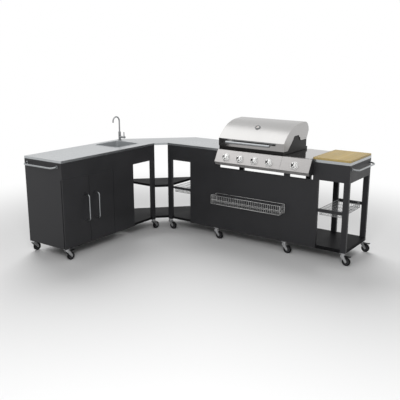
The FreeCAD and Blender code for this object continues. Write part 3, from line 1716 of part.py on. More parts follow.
def caster_spots():
    """Name, place of the swivel axis, and heading of each caster in degrees from +X."""
    half_post = cell("post_width") / 2
    near, far = cell("caster_front_inset"), depth - cell("caster_back_inset")
    spots = []
    corner_middle = cut + cell("corner_post_width") / 2
    for name, y in (("sink_end", sink_end + half_post), ("sink_corner", -corner_middle)):
        spots.append((f"{name}_front", -near, y, 90))
        spots.append((f"{name}_back", -far, y, 90))
    for name, x in (
        ("bay", corner_middle),
        ("grill_left", side_unit_end - half_post),
        ("grill_right", grill_end + half_post),
        ("trolley", trolley_end - half_post),
    ):
        spots.append((f"{name}_front", x, near, 0))
        spots.append((f"{name}_back", x, far, 0))
    return spots


BRAKED = ("sink_end_front", "trolley_front", "trolley_back")


def fork_parts(name):
    """Fork of one caster in its own frame: head, bridge, two legs, and the axle between them."""
    wall = cell("fork_wall")
    half = cell("wheel_width") / 2 + cell("fork_clearance")
    bridge = cell("fork_bridge")
    trail, head = cell("caster_trail"), cell("fork_head_radius")
    axle_z = cell("wheel_radius")
    top = underside - cell("mount_plate") - seat
    hub = local_rod(name + "_head", head, top - bridge, Vector(0, 0, 1), (ZERO, ZERO, bridge))
    plate = local_box(name + "_bridge", (-head, head), (-half - wall, half + wall), (bridge - wall, bridge))
    legs = []
    foot = cell("fork_foot")
    outline = [
        (-head, bridge),
        (-head, bridge - foot),
        (trail - foot, axle_z - foot / 2),
        (trail + foot, axle_z - foot / 2, -cell("fork_foot_radius")),
        (trail + foot, axle_z + foot),
        (head, bridge - wall),
        (head, bridge),
    ]
    for side, y in (("near", -half), ("far", half + wall)):
        sketch = drawing(f"{name}_leg_{side}_outline", outline)
        leg = document.addObject("Part::Extrusion", f"{name}_leg_{side}")
        leg.Base = sketch
        leg.DirMode = "Custom"
        leg.Dir = Vector(0, 0, 1)
        leg.Solid = True
        bind(leg, "LengthFwd", wall)
        leg.Placement = FreeCAD.Placement(Vector(0, y.number, 0), FRONT_VIEW)
        bind(leg, "Placement.Base.y", y)
        legs.append(leg)
    axle_spot = (trail, -half, axle_z)
    axle = local_rod(name + "_axle", cell("axle_radius"), half * 2, Vector(0, 1, 0), axle_spot)
    return [hub, plate] + legs + [axle]


def make_casters():
    """Swivel casters: a plate with its kingpin, a fork and a wheel each, and a brake pedal on some."""
    plates = []
    plate = cell("mount_plate")
    swivel = cell("swivel_radius")
    bridge = cell("fork_bridge")
    for name, x, y, heading in caster_spots():
        turn = Rotation(Vector(0, 0, 1), heading)
        across = -x if heading else y
        low = ZERO if across.number < depth.number / 2 else depth - post_depth
        along = y if heading else x
        run = (along - cell("post_width") / 2, along + cell("post_width") / 2)
        columns = (-low - post_depth, -low) if heading else (low, low + post_depth)
        flange_x, flange_y = (columns, run) if heading else (run, columns)
        flange = box(f"{name}_plate", flange_x, flange_y, (underside - plate, underside))
        pin_length = underside - plate - bridge
        kingpin = rod(f"{name}_kingpin", swivel, pin_length + plate / 2, Vector(0, 0, 1), (x, y, bridge))
        plates.append(fuse(f"{name}_mount", [flange, kingpin]))

        parts = fork_parts(name)
        bore_spot = (ZERO, ZERO, bridge - plate * 2)
        bore = local_rod(f"{name}_bore", swivel + clearance, bridge, Vector(0, 0, 1), bore_spot)
        if name in BRAKED:
            parts.append(pedal_pin(name))
        solid = fuse(f"{name}_fork_solid", parts)
        fork = place(cut_from(f"{name}_fork_bored", solid, bore), x, y, ZERO, turn)
        node(f"fork_{name}", fork)
        place_wheel(name, x, y, turn)
        if name in BRAKED:
            place_pedal(name, x, y, turn)
    group("caster_plates", plates)


def place_wheel(name, x, y, turn):
    """A rubber-tyred wheel, turned about its axle."""
    radius, half = cell("wheel_radius"), cell("wheel_width") / 2
    bore = cell("axle_radius") + clearance
    hub, rim = cell("wheel_hub_radius"), cell("wheel_rim_radius")
    dish, tread, fall = cell("wheel_dish"), cell("tread_width") / 2, cell("tread_fall")
    shoulder, bulge = dish / 4, fall * 3
    points = [
        (bore, -half),
        (hub, -half),
        (rim, dish - half),
        (radius - fall, shoulder - half),
        (radius, -tread, -bulge),
        (radius, tread),
        (radius - fall, half - shoulder, -bulge),
        (rim, half - dish),
        (hub, half),
        (bore, half),
    ]
    body = turned(f"wheel_{name}_body", points)
    trail = cell("caster_trail")
    heading = turn.multVec(Vector(1, 0, 0))
    axis = turn.multVec(Vector(0, 1, 0))
    spin = Rotation(Vector(0, 0, 1), axis)
    place(body, x + trail * heading.x, y + trail * heading.y, radius, spin)
    node(f"wheel_{name}", body)


def pedal_spot():
    """The brake pedal's pin in the fork's own frame, as X and Z."""
    pin = cell("pedal_pin_radius")
    return cell("fork_head_radius") - pin * 2, cell("fork_bridge") - pin * 3


def pedal_pin(name):
    """The pin across the fork that the brake pedal turns on."""
    x, z = pedal_spot()
    pin = cell("pedal_pin_radius")
    half = cell("wheel_width") / 2 + cell("fork_clearance")
    return local_rod(f"{name}_pedal_pin", pin, half * 2, Vector(0, 1, 0), (x, -half, z))


def place_pedal(name, x, y, turn):
    """A brake pedal that reaches out over the wheel."""
    pin_x, pin_z = pedal_spot()
    half = cell("pedal_width") / 2
    thick = cell("pedal_thickness")
    pin, boss = cell("pedal_pin_radius"), cell("pedal_boss_radius")
    arm = local_box(f"{name}_pedal_arm", (ZERO, cell("pedal_length")), (-half, half), (boss - thick, boss))
    hub = local_rod(f"{name}_pedal_hub", boss, half * 2, Vector(0, 1, 0), (ZERO, -half, ZERO))
    tip_x = (cell("pedal_length") - thick * 2, cell("pedal_length"))
    tip = local_box(f"{name}_pedal_tip", tip_x, (-half, half), (boss, boss + thick / 2))
    through = half * 2
    bore_spot = (ZERO, -through, ZERO)
    bore = local_rod(f"{name}_pedal_bore", pin + clearance, through * 2, Vector(0, 1, 0), bore_spot)
    pedal = cut_from(f"{name}_pedal_bored", fuse(f"{name}_pedal_solid", [arm, hub, tip]), bore)
    heading = turn.multVec(Vector(1, 0, 0))
    place(pedal, x + pin_x * heading.x, y + pin_x * heading.y, pin_z, turn)
    node(f"pedal_{name}", pedal)


def check_and_write():
    """Stops on any failed object, then writes each sub-part to its own file."""
    document.recompute()
    for item in document.Objects:
        if "Invalid" in item.State or "Error" in item.State:
            raise RuntimeError(f"{item.Name} ({item.Label}) failed: {item.State}")
    os.makedirs("parts", exist_ok=True)
    for item in nodes:
        shape = item.Shape
        if shape.isNull() or not shape.isValid() or not shape.Solids:
            raise RuntimeError(f"{item.Label} has no valid solid")
        shape.exportStep(os.path.join("parts", item.Label + ".step"))
    print(len(nodes), "sub-parts written")


make_frame()
make_cladding()
make_shelves()
make_sink_worktop()
make_worktops()
make_sink_basin()
make_tap()
make_towel_bars()
make_doors()
make_firebox()
make_grease_tray()
make_hood()
make_hood_handle()
make_grates()
make_burners()
make_control_panel()
make_knobs()
make_side_burner()
make_spice_rack()
make_baskets()
make_cutting_board()
make_casters()
check_and_write()
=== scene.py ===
import json
import math
from contextlib import contextmanager

import bmesh
import bpy
from mathutils import Euler, Matrix, Vector


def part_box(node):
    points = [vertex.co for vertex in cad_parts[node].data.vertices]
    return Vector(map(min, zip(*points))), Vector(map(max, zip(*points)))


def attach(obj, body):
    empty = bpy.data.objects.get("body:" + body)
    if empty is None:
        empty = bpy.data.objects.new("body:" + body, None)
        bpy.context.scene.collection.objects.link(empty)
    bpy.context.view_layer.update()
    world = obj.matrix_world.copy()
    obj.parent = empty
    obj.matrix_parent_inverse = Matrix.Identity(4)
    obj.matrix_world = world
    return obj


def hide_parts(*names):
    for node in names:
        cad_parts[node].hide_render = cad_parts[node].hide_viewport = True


bl_info = {
    "name": "Outdoor Kitchen Island",
    "version": (1, 0, 0),
    "blender": (4, 5, 0),
    "location": "View3D > Sidebar > Kitchen",
    "description": "Dresses the packed kitchen island: steel, powder coat, wire goods, casters and studio",
    "category": "Object",
}

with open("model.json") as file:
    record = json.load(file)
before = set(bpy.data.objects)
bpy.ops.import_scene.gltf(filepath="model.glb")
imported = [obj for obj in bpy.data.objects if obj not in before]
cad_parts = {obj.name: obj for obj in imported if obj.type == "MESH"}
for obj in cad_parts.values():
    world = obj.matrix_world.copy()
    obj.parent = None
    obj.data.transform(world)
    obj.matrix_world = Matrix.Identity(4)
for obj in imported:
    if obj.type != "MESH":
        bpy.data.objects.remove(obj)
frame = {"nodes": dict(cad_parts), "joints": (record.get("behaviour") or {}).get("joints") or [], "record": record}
BODY_OF = {node: body for body, nodes in frame["record"]["behaviour"]["bodies"].items() for node in nodes}
JOINTS = {joint["child"]: joint for joint in frame["joints"]}
CASTERS = sorted(node[len("fork_"):] for node in frame["nodes"] if node.startswith("fork_"))
KNOBS = sorted(node for node in frame["nodes"] if node.startswith("knob_"))

MILLIMETRE = 0.001
X_AXIS = Vector((1, 0, 0))
Y_AXIS = Vector((0, 1, 0))
Z_AXIS = Vector((0, 0, 1))

# Welding, smoothing and rounding of meshes, with angles in degrees
WELD = 0.01 * MILLIMETRE
FLAT_ANGLE = 0.5
CREASE_ANGLE = 32
ROUND_ANGLE = 40
TUBE_ANGLE = 60
BEVEL_ANGLE = 40
BEVEL_SEGMENTS = 2
TURNED_STEPS = 32
ROUND_STEPS = 40
FINE_EDGE = 0.4 * MILLIMETRE
PLATE_EDGE = 0.5 * MILLIMETRE
MOULDED_EDGE = 0.6 * MILLIMETRE
CAST_EDGE = 0.8 * MILLIMETRE
TRIM_EDGE = 0.3 * MILLIMETRE

# How patterns are stretched: least along the brushing, and evenly
ALONG_X = (1, 40, 40)
ALONG_Y = (40, 1, 40)
PRESSED = (12, 12, 40)
EVEN = (1, 1, 1)
NOISE_LOW = 0.3
NOISE_HIGH = 0.7
STAVE_WIDTH = 43 * MILLIMETRE
STAVE_STRETCH = (60, 2.2, 60)
STAVE_CONTRAST = 0.35
SEAM_SHARE = 0.02

# Hood, control panel and knobs, with sections as (radius, height) in millimetres
BAND_HEIGHT = 71 * MILLIMETRE
BAND_FACING = -0.99
BEZEL_RADIUS = 39.5 * MILLIMETRE
BEZEL_FOOT = 0.2 * MILLIMETRE
BEZEL_FACING = 0.1
BEZEL_RING = [
    (31.2, 3.9), (31.2, 5.4), (31.8, 6.6), (33.0, 7.2), (34.4, 7.0), (35.6, 6.0), (36.6, 4.4), (37.4, 2.6),
    (37.8, 0.3), (36.0, 0.3), (34.0, 2.0), (31.2, 3.9),
]
GRIP_HEIGHT = 7 * MILLIMETRE
CROWN_RING = [
    (4.0, -0.2), (16.4, -0.2), (21.4, -4.2), (22.4, -3.4), (22.4, -1.2), (21.6, 0.3), (20.0, 0.9), (4.6, 0.9),
    (4.0, -0.2),
]
# Painted reflection: the crown ring's lower-left half is black, standing in for the dark cabinets and floor
# mirrored in the chrome; its direction across and up, and where it starts
DARK_REFLECTION_ACROSS = -0.8
DARK_REFLECTION_UP = -0.6
DARK_REFLECTION_FROM = 2 * MILLIMETRE
INLAY_SIZE = (7.6 * MILLIMETRE, 34 * MILLIMETRE, 1.0 * MILLIMETRE)
INLAY_SINK = 0.4 * MILLIMETRE
INLAY_RISE = 3 * MILLIMETRE

# Wire goods: wires across and along each net
RACK_WIRES = 36
RACK_END_WIRES = 4
CORNER_BASKET_WIRES = (25, 21)
TROLLEY_BASKET_WIRES = (9, 21)
BASKET_FLOOR_RUNS = 3
HOOK_REACH = 16 * MILLIMETRE
HOOK_RISE = 3 * MILLIMETRE
HOOK_STEPS = 8
WIRE_SIDES = 6
RIM_SIDES = 8

# Lower halves of the wheel's two sections, as (radius, height) in millimetres from the axle's middle
TYRE_SECTION = [
    (27.5, -8.68), (31.5, -11.408), (35.0, -10.664), (36.9, -8.184), (37.5, -4.96), (37.5, -3.72),
    (36.6, -3.224), (36.6, -1.984), (37.5, -1.488),
]
HUB_SECTION = [
    (4.05, -11.5), (8.0, -11.5), (9.0, -10.58), (10.5, -3.0), (23.6, -3.0), (24.6, -8.74), (27.6, -9.2),
]

# Gauge: lengths in metres, shares of the dial's radius, and angles in degrees
GAUGE_OUTWARD = (0.0, -0.46872, 0.88335)
GAUGE_SPAN = 60 * MILLIMETRE
DIAL_LEVEL = 5.6 * MILLIMETRE
DIAL_RADIUS = 20.3 * MILLIMETRE
DIAL_THICKNESS = 0.5 * MILLIMETRE
SCALE_INNER = 0.84
SCALE_OUTER = 0.97
TICKS = 11
TICK_START = -40
TICK_SWEEP = 260
TICK_LENGTH = 0.2
TICK_PLACE = 0.7
TICK_WIDTH = 0.9 * MILLIMETRE
NEEDLE_LENGTH = 0.8
NEEDLE_PLACE = 0.3
NEEDLE_WIDTH = 1.6 * MILLIMETRE
NEEDLE_TURN = 205
NEEDLE_HUB = 2.4 * MILLIMETRE
NEEDLE_HUB_STEPS = 16

# Sink strainer, screws and hinge caps; heads as shares of the screw's radius
BOWL_DEPTH = 125 * MILLIMETRE
STRAINER_SECTION = [(16, 0), (31, 0), (31, 0.9), (28.52, 3), (16, 2.1), (16, 0)]
STRAINER_BAR = (32.64 * MILLIMETRE, 3 * MILLIMETRE, 1.5 * MILLIMETRE)
STRAINER_BAR_LIFT = 1.2 * MILLIMETRE
STRAINER_BARS = 3
FLANGE_SCREWS = 6
FLANGE_INSET = 30 * MILLIMETRE
FLANGE_BACK = 68 * MILLIMETRE
FLANGE_HEAD = (0.8, 0.3)
HINGE_CAP = (1.9, 0.7)
HEAD_SIDES = 12
HEAD_RINGS = 6

# Stage, in metres, watts and degrees
WHITE = (1, 1, 1, 1)
FLOOR_SHADE = 227
FLOOR_REACH = 40
FADE_START = 1.9
FADE_END = 4.0
AMBIENT_LIGHT = 0.36
SUN_FROM = (-0.58, 0.52, 0.62)
SUN_SPREAD = 46
SUN_POWER = 2.3
# Name, place, aim, width, power, lights matt faces, shows in mirrors
LAMPS = (
    ("front_softbox", (2.4, -3.8, 3.1), (0.3, -0.3, 0.4), 2.0, 102, True, False),
    ("hood_softbox", (-1.5, -0.1, 3.4), (0.27, 0.6, 1.1), 3.4, 34, False, True),
)
SENSOR_WIDTH = 36.0
PICTURE_PIXELS = 400
FOCAL_PIXELS = 602.05
CAMERA_PLACE = (3.0828, -4.2836, 1.8413)
CAMERA_TILT = 14.2538
CAMERA_AZIMUTH = 35.6075
CAMERA_REACH = 200


def linear(shade):
    """A display shade, 0 to 255, as linear light."""
    value = shade / 255
    return value / 12.92 if value <= 0.04045 else ((value + 0.055) / 1.055) ** 2.4


def colour(red, green, blue):
    """Display shades, 0 to 255, as a linear colour."""
    return (linear(red), linear(green), linear(blue), 1.0)


def tinted(base, amount):
    """A lighter or darker version of a colour."""
    return tuple(min(1.0, channel * amount) for channel in base[:3]) + (1.0,)


class KitchenFinish(bpy.types.PropertyGroup):
    """Colours and finishes that a user would change."""

    coat: bpy.props.FloatVectorProperty(
        name="Cabinet coat", description="Colour of the powder-coated cabinets",
        subtype="COLOR", size=4, min=0, max=1, default=colour(41, 41, 43),
    )
    steel: bpy.props.FloatVectorProperty(
        name="Satin steel", description="Tint of the brushed stainless steel",
        subtype="COLOR", size=4, min=0, max=1, default=colour(173, 176, 178),
    )
    board: bpy.props.FloatVectorProperty(
        name="Board wood", description="Main colour of the chopping board",
        subtype="COLOR", size=4, min=0, max=1, default=colour(174, 151, 94),
    )
    tyre: bpy.props.FloatVectorProperty(
        name="Tyres", description="Colour of the caster tyres",
        subtype="COLOR", size=4, min=0, max=1, default=colour(19, 19, 20),
    )


class KitchenSizes(bpy.types.PropertyGroup):
    """Sizes of the trim that the scene adds."""

    edge: bpy.props.FloatProperty(
        name="Sheet edge", description="Rounding of folded steel edges",
        default=0.7 * MILLIMETRE, min=0, unit="LENGTH",
    )
    fold: bpy.props.FloatProperty(
        name="Folded panel edge", description="Rounding of the coated panels' and posts' edges",
        default=1.4 * MILLIMETRE, min=0, unit="LENGTH",
    )
    screw: bpy.props.FloatProperty(
        name="Screw head", description="Radius that the screws' and caps' heads follow",
        default=4.2 * MILLIMETRE, min=0, unit="LENGTH",
    )
    wire: bpy.props.FloatProperty(
        name="Basket wire", description="Radius of the thin wires",
        default=1.5 * MILLIMETRE, min=0, unit="LENGTH",
    )
    rim: bpy.props.FloatProperty(
        name="Basket rim", description="Radius of the wire along each rim",
        default=2.5 * MILLIMETRE, min=0, unit="LENGTH",
    )


# Materials


class Nodes:
    """Short ways to build one tree's nodes."""

    def __init__(self, tree):
        self.tree = tree

    def add(self, kind, feeds=(), **settings):
        """A node with its settings, and with its inputs fed."""
        made = self.tree.nodes.new(kind)
        for key, value in settings.items():
            setattr(made, key, value)
        self.feed(made, feeds)
        return made

    def feed(self, node, feeds):
        """Links sockets and writes values into a node's inputs, by name or by number."""
        for label, value in dict(feeds).items():
            if isinstance(value, bpy.types.NodeSocket):
                self.tree.links.new(value, node.inputs[label])
            else:
                node.inputs[label].default_value = value

    def calc(self, operation, *values):
        """The result of a math node on numbers and sockets."""
        return self.add("ShaderNodeMath", enumerate(values), operation=operation).outputs[0]


def cleared(owner):
    """The empty node tree of a material or world."""
    owner.use_nodes = True
    owner.node_tree.nodes.clear()
    return Nodes(owner.node_tree)


def new_material(name):
    """A material, its nodes and its principled shader."""
    made = bpy.data.materials.new(name)
    nodes = cleared(made)
    shader = nodes.add("ShaderNodeBsdfPrincipled")
    nodes.add("ShaderNodeOutputMaterial", {"Surface": shader.outputs["BSDF"]})
    return made, nodes, shader


def pattern(nodes, stretch, scale, detail):
    """Noise on the object's own coordinates, stretched along an axis."""
    place = nodes.add("ShaderNodeTexCoord")
    mapping = nodes.add("ShaderNodeMapping", {"Vector": place.outputs["Object"], "Scale": stretch})
    noise = nodes.add("ShaderNodeTexNoise", {
        "Vector": mapping.outputs["Vector"], "Scale": scale, "Detail": detail,
    })
    return noise.outputs["Fac"]


def between(nodes, factor, low, high):
    """A number that follows a noise factor between two values."""
    ramp = nodes.add("ShaderNodeMapRange", {
        "Value": factor, "From Min": NOISE_LOW, "From Max": NOISE_HIGH, "To Min": low, "To Max": high,
    })
    return ramp.outputs["Result"]


def shades(nodes, factor, stops):
    """A colour that follows a factor through stops of (place, colour)."""
    ramp = nodes.add("ShaderNodeValToRGB", {"Fac": factor})
    elements = ramp.color_ramp.elements
    while len(elements) < len(stops):
        elements.new(0.5)
    for element, (place, tint) in zip(elements, stops):
        element.position = place
        element.color = tint
    return ramp.outputs["Color"]


def dent(nodes, shader, height, strength, distance):
    """Bump from a height pattern."""
    bump = nodes.add("ShaderNodeBump", {"Height": height, "Strength": strength, "Distance": distance})
    nodes.feed(shader, {"Normal": bump.outputs["Normal"]})


def powder_coat(name, base, sheen):
    """Fine-grained powder coat with a faint cloudiness."""
    made, nodes, shader = new_material(name)
    grain = pattern(nodes, EVEN, scale=1400, detail=2)
    cloud = pattern(nodes, EVEN, scale=5, detail=4)
    nodes.feed(shader, {
        "Base Color": shades(nodes, cloud, [(0.3, tinted(base, 0.9)), (0.7, tinted(base, 1.1))]),
        "Roughness": between(nodes, cloud, low=0.42, high=0.52),
        "Specular IOR Level": sheen,
    })
    dent(nodes, shader, grain, strength=0.12, distance=0.2 * MILLIMETRE)
    return made


def brushed_steel(name, base, stretch, roughness, flat=0.0):
    """Stainless steel brushed along the axis that is stretched least."""
    made, nodes, shader = new_material(name)
    streaks = pattern(nodes, stretch, scale=24, detail=6)
    cloud = pattern(nodes, EVEN, scale=3.5, detail=4)
    brushed = between(nodes, streaks, low=roughness - 0.04, high=roughness + 0.05)
    wiped = between(nodes, cloud, low=-0.03, high=0.03)
    nodes.feed(shader, {
        "Base Color": shades(nodes, streaks, [(0.25, tinted(base, 0.93)), (0.75, tinted(base, 1.06))]),
        "Roughness": nodes.calc("ADD", brushed, wiped),
        "Metallic": 1.0 - flat,
    })
    dent(nodes, shader, streaks, strength=0.05, distance=0.08 * MILLIMETRE)
    return made


def bright_metal(name, base, roughness):
    """Polished or plated metal with faint wipe marks."""
    made, nodes, shader = new_material(name)
    marks = pattern(nodes, EVEN, scale=30, detail=5)
    nodes.feed(shader, {
        "Base Color": shades(nodes, marks, [(0.3, tinted(base, 0.95)), (0.7, tinted(base, 1.03))]),
        "Roughness": between(nodes, marks, low=roughness * 0.7, high=roughness * 1.4),
        "Metallic": 1.0,
    })
    return made


def dull_metal(name, base, roughness, metallic, grain, strength, sheen=0.5):
    """Cast, plated or enamelled metal with a grain."""
    made, nodes, shader = new_material(name)
    bumps = pattern(nodes, EVEN, scale=grain, detail=4)
    cloud = pattern(nodes, EVEN, scale=grain / 20, detail=3)
    nodes.feed(shader, {
        "Base Color": shades(nodes, cloud, [(0.3, tinted(base, 0.85)), (0.7, tinted(base, 1.15))]),
        "Roughness": between(nodes, bumps, low=roughness - 0.06, high=roughness + 0.08),
        "Metallic": metallic,
        "Specular IOR Level": sheen,
    })
    dent(nodes, shader, bumps, strength, distance=0.4 * MILLIMETRE)
    return made


def moulded(name, base, roughness, sheen=0.3):
    """Rubber or plastic with a fine moulded grain and some dust."""
    made, nodes, shader = new_material(name)
    grain = pattern(nodes, EVEN, scale=900, detail=2)
    dust = pattern(nodes, EVEN, scale=40, detail=5)
    nodes.feed(shader, {
        "Base Color": shades(nodes, dust, [(0.35, base), (0.75, tinted(base, 1.35))]),
        "Roughness": between(nodes, dust, low=roughness - 0.08, high=roughness + 0.08),
        "Specular IOR Level": sheen,
    })
    dent(nodes, shader, grain, strength=0.2, distance=0.3 * MILLIMETRE)
    return made


def board_wood(name, base):
    """Light hardwood: staves glued side by side along Y, each with its own tone and a fine grain."""
    made, nodes, shader = new_material(name)
    place = nodes.add("ShaderNodeTexCoord").outputs["Object"]
    split = nodes.add("ShaderNodeSeparateXYZ", {0: place})
    number = nodes.calc("DIVIDE", split.outputs["X"], STAVE_WIDTH)
    whole = nodes.calc("FLOOR", number)
    tone = nodes.add("ShaderNodeTexWhiteNoise", {"W": whole}, noise_dimensions="1D").outputs["Value"]
    moved = nodes.add("ShaderNodeCombineXYZ", {"Z": tone})
    shifted = nodes.add("ShaderNodeVectorMath", {0: place, 1: moved.outputs[0]}, operation="ADD")
    mapping = nodes.add("ShaderNodeMapping", {"Vector": shifted.outputs[0], "Scale": STAVE_STRETCH})
    grain = nodes.add("ShaderNodeTexNoise", {
        "Vector": mapping.outputs["Vector"], "Scale": 2.2, "Detail": 8, "Distortion": 0.6,
    }).outputs["Fac"]
    blend = nodes.calc("MULTIPLY_ADD", tone, STAVE_CONTRAST, grain)
    wood = shades(nodes, blend, [(0.35, tinted(base, 0.72)), (0.6, base), (0.9, tinted(base, 1.16))])
    seam = nodes.calc("LESS_THAN", nodes.calc("FRACT", number), SEAM_SHARE)
    mixed = nodes.add("ShaderNodeMix", data_type="RGBA")
    nodes.feed(mixed, {0: seam, 6: wood, 7: tinted(base, 0.45)})
    nodes.feed(shader, {
        "Base Color": mixed.outputs[2],
        "Roughness": between(nodes, grain, low=0.42, high=0.6),
    })
    dent(nodes, shader, grain, strength=0.25, distance=0.3 * MILLIMETRE)
    return made


MATERIALS = {}


def make_materials(finish):
    """Every finish of the island, by name."""
    steel, coat = tuple(finish.steel), tuple(finish.coat)
    MATERIALS.update({
        "coat": powder_coat("anthracite_powder_coat", coat, sheen=0.3),
        # Painted shade: the shelves get the cabinet coat darkened to 0.42 with little sheen, for their place deep
        # in the bays
        "shelf_coat_painted_shade": powder_coat("shelf_powder_coat_painted_shade", tinted(coat, 0.42), sheen=0.03),
        "steel_x": brushed_steel("satin_steel_along_x", steel, ALONG_X, roughness=0.3),
        "steel_y": brushed_steel("satin_steel_along_y", steel, ALONG_Y, roughness=0.3),
        "steel_soft": brushed_steel("satin_steel_soft", tinted(steel, 0.8), ALONG_X, roughness=0.3),
        "hood": brushed_steel("satin_steel_hood", colour(176, 175, 174), ALONG_X, roughness=0.33),
        "panel": brushed_steel("satin_steel_panel", colour(172, 170, 169), ALONG_X, roughness=0.32),
        "band": brushed_steel("polished_steel_band", colour(152, 150, 149), ALONG_X, roughness=0.08),
        "basin": brushed_steel("pressed_basin_steel", steel, PRESSED, roughness=0.5, flat=0.6),
        "chrome": bright_metal("bright_chrome", colour(150, 151, 152), roughness=0.1),
        "knob": bright_metal("knob_chrome", colour(238, 238, 237), roughness=0.07),
        "bezel": bright_metal("dark_bezel_chrome", colour(118, 117, 116), roughness=0.12),
        "rack_wire": bright_metal("bright_rack_wire", colour(205, 205, 204), roughness=0.3),
        "wire": bright_metal("plated_wire", colour(140, 141, 142), roughness=0.24),
        "enamel": dull_metal(
            "black_stove_enamel", colour(22, 21, 20),
            roughness=0.4, metallic=0.0, grain=260, strength=0.08, sheen=0.2,
        ),
        "iron": dull_metal(
            "seasoned_cast_iron", colour(30, 29, 29), roughness=0.55, metallic=0.2, grain=500, strength=0.5,
        ),
        "zinc": dull_metal(
            "zinc_plate", colour(196, 197, 198), roughness=0.34, metallic=1.0, grain=90, strength=0.06,
        ),
        "tyre": moulded("tread_rubber", tuple(finish.tyre), roughness=0.7, sheen=0.15),
        "plastic": moulded("black_plastic", colour(22, 22, 23), roughness=0.5, sheen=0.25),
        "hub": moulded("grey_hub_plastic", colour(52, 52, 54), roughness=0.5),
        # Black for the grip inlays, also used as the painted dark reflection on the knobs' crown rings
        "jet": moulded("knob_jet_inlay_and_painted_reflection", colour(4, 4, 4), roughness=0.5, sheen=0.04),
        "dial": moulded("dial_white", colour(205, 205, 202), roughness=0.4),
        "ink": moulded("dial_ink", colour(24, 24, 26), roughness=0.5),
        "needle": moulded("dial_red", colour(150, 34, 28), roughness=0.45),
        "wood": board_wood("glued_hardwood", tuple(finish.board)),
    })


# Meshes and pieces


@contextmanager
def edited(mesh):
    """A mesh opened for editing, and written back at the end."""
    shaped = bmesh.new()
    shaped.from_mesh(mesh)
    yield shaped
    shaped.to_mesh(mesh)
    shaped.free()


def smooth_by_angle(mesh, angle):
    """Smooth shading with hard edges where faces meet at more than an angle."""
    limit = math.radians(angle)
    with edited(mesh) as shaped:
        for face in shaped.faces:
            face.smooth = True
        for edge in shaped.edges:
            edge.smooth = len(edge.link_faces) == 2 and edge.calc_face_angle() < limit


def merged_copy(node):
    """A CAD node's mesh with its loose triangles joined and its flat faces made whole."""
    mesh = frame["nodes"][node].data.copy()
    with edited(mesh) as shaped:
        bmesh.ops.remove_doubles(shaped, verts=shaped.verts, dist=WELD)
        bmesh.ops.dissolve_limit(
            shaped, angle_limit=math.radians(FLAT_ANGLE), use_dissolve_boundaries=False,
            verts=shaped.verts, edges=shaped.edges,
        )
        bmesh.ops.triangulate(shaped, faces=[face for face in shaped.faces if len(face.verts) > 4])
    return mesh


def turned(points, steps=TURNED_STEPS):
    """A mesh turned about Z from (radius, height) points."""
    mesh = bpy.data.meshes.new("turned")
    with edited(mesh) as shaped:
        verts = [shaped.verts.new((radius, 0, height)) for radius, height in points]
        edges = [shaped.edges.new(pair) for pair in zip(verts, verts[1:])]
        bmesh.ops.spin(
            shaped, geom=verts + edges, cent=(0, 0, 0), axis=Z_AXIS, angle=math.tau, steps=steps,
            use_merge=True,
        )
        bmesh.ops.remove_doubles(shaped, verts=shaped.verts, dist=WELD)
        bmesh.ops.recalc_face_normals(shaped, faces=shaped.faces)
    smooth_by_angle(mesh, CREASE_ANGLE)
    return mesh


def metres(rows):
    """A section's millimetres in metres."""
    return [(radius * MILLIMETRE, height * MILLIMETRE) for radius, height in rows]


def mirrored(rows):
    """The whole closed section from its lower half."""
    upper = [(radius, -height) for radius, height in reversed(rows)]
    return rows + upper + rows[:1]


def bevelled_box(length, width, height, edge):
    """A box round its own middle with rounded edges."""
    mesh = bpy.data.meshes.new("bevelled_box")
    with edited(mesh) as shaped:
        bmesh.ops.create_cube(shaped, size=1, matrix=Matrix.Diagonal((length, width, height, 1)))
        bmesh.ops.bevel(
            shaped, geom=list(shaped.edges), offset=edge, segments=BEVEL_SEGMENTS, affect="EDGES",
            profile=0.5,
        )
    smooth_by_angle(mesh, ROUND_ANGLE)
    return mesh


def joined(name, parts):
    """One mesh from (mesh, matrix) pairs."""
    whole = bpy.data.meshes.new(name)
    with edited(whole) as shaped:
        for mesh, matrix in parts:
            copy = mesh.copy()
            copy.transform(matrix)
            if matrix.determinant() < 0:
                copy.flip_normals()
            shaped.from_mesh(copy)
            bpy.data.meshes.remove(copy)
    return whole


def axes_matrix(origin, x_axis, y_axis, z_axis):
    """A matrix with its own origin and axes."""
    matrix = Matrix((x_axis, y_axis, z_axis)).transposed().to_4x4()
    matrix.translation = origin
    return matrix


def facing(origin, outward):
    """A matrix whose Z looks along a direction."""
    matrix = Vector(outward).to_track_quat("Z", "Y").to_matrix().to_4x4()
    matrix.translation = origin
    return matrix


def finish_piece(name, mesh, material, node, replaced=()):
    """Puts a finished mesh into the scene with its finish, on the body of a CAD node."""
    piece = bpy.data.objects.new(name, mesh)
    bpy.context.scene.collection.objects.link(piece)
    mesh.materials.clear()
    mesh.materials.append(MATERIALS[material])
    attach(piece, BODY_OF[node])
    if replaced:
        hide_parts(*replaced)
    return piece


def assembled(name, parts, material, node, replaced=()):
    """A piece joined from (mesh, matrix) pairs."""
    return finish_piece(name, joined(name, parts), material, node, replaced)


def dressed(node, name, material, edge=0.0, angle=CREASE_ANGLE):
    """A CAD node's own shape with its edges rounded, its curves smooth and a finish on it."""
    mesh = merged_copy(node)
    smooth_by_angle(mesh, angle)
    piece = finish_piece(name, mesh, material, node, replaced=(node,))
    if edge > 0:
        bevel = piece.modifiers.new("rounded_edges", "BEVEL")
        bevel.width = edge
        bevel.segments = BEVEL_SEGMENTS
        bevel.limit_method = "ANGLE"
        bevel.angle_limit = math.radians(BEVEL_ANGLE)
        bevel.use_clamp_overlap = True
        bevel.harden_normals = True
    return piece


def material_on_faces(piece, material, chosen):
    """Gives the faces for which chosen(centre, normal) is true another finish."""
    mesh = piece.data
    mesh.materials.append(MATERIALS[material])
    index = len(mesh.materials) - 1
    for polygon in mesh.polygons:
        if chosen(polygon.center, polygon.normal):
            polygon.material_index = index


# Geometry Nodes trees


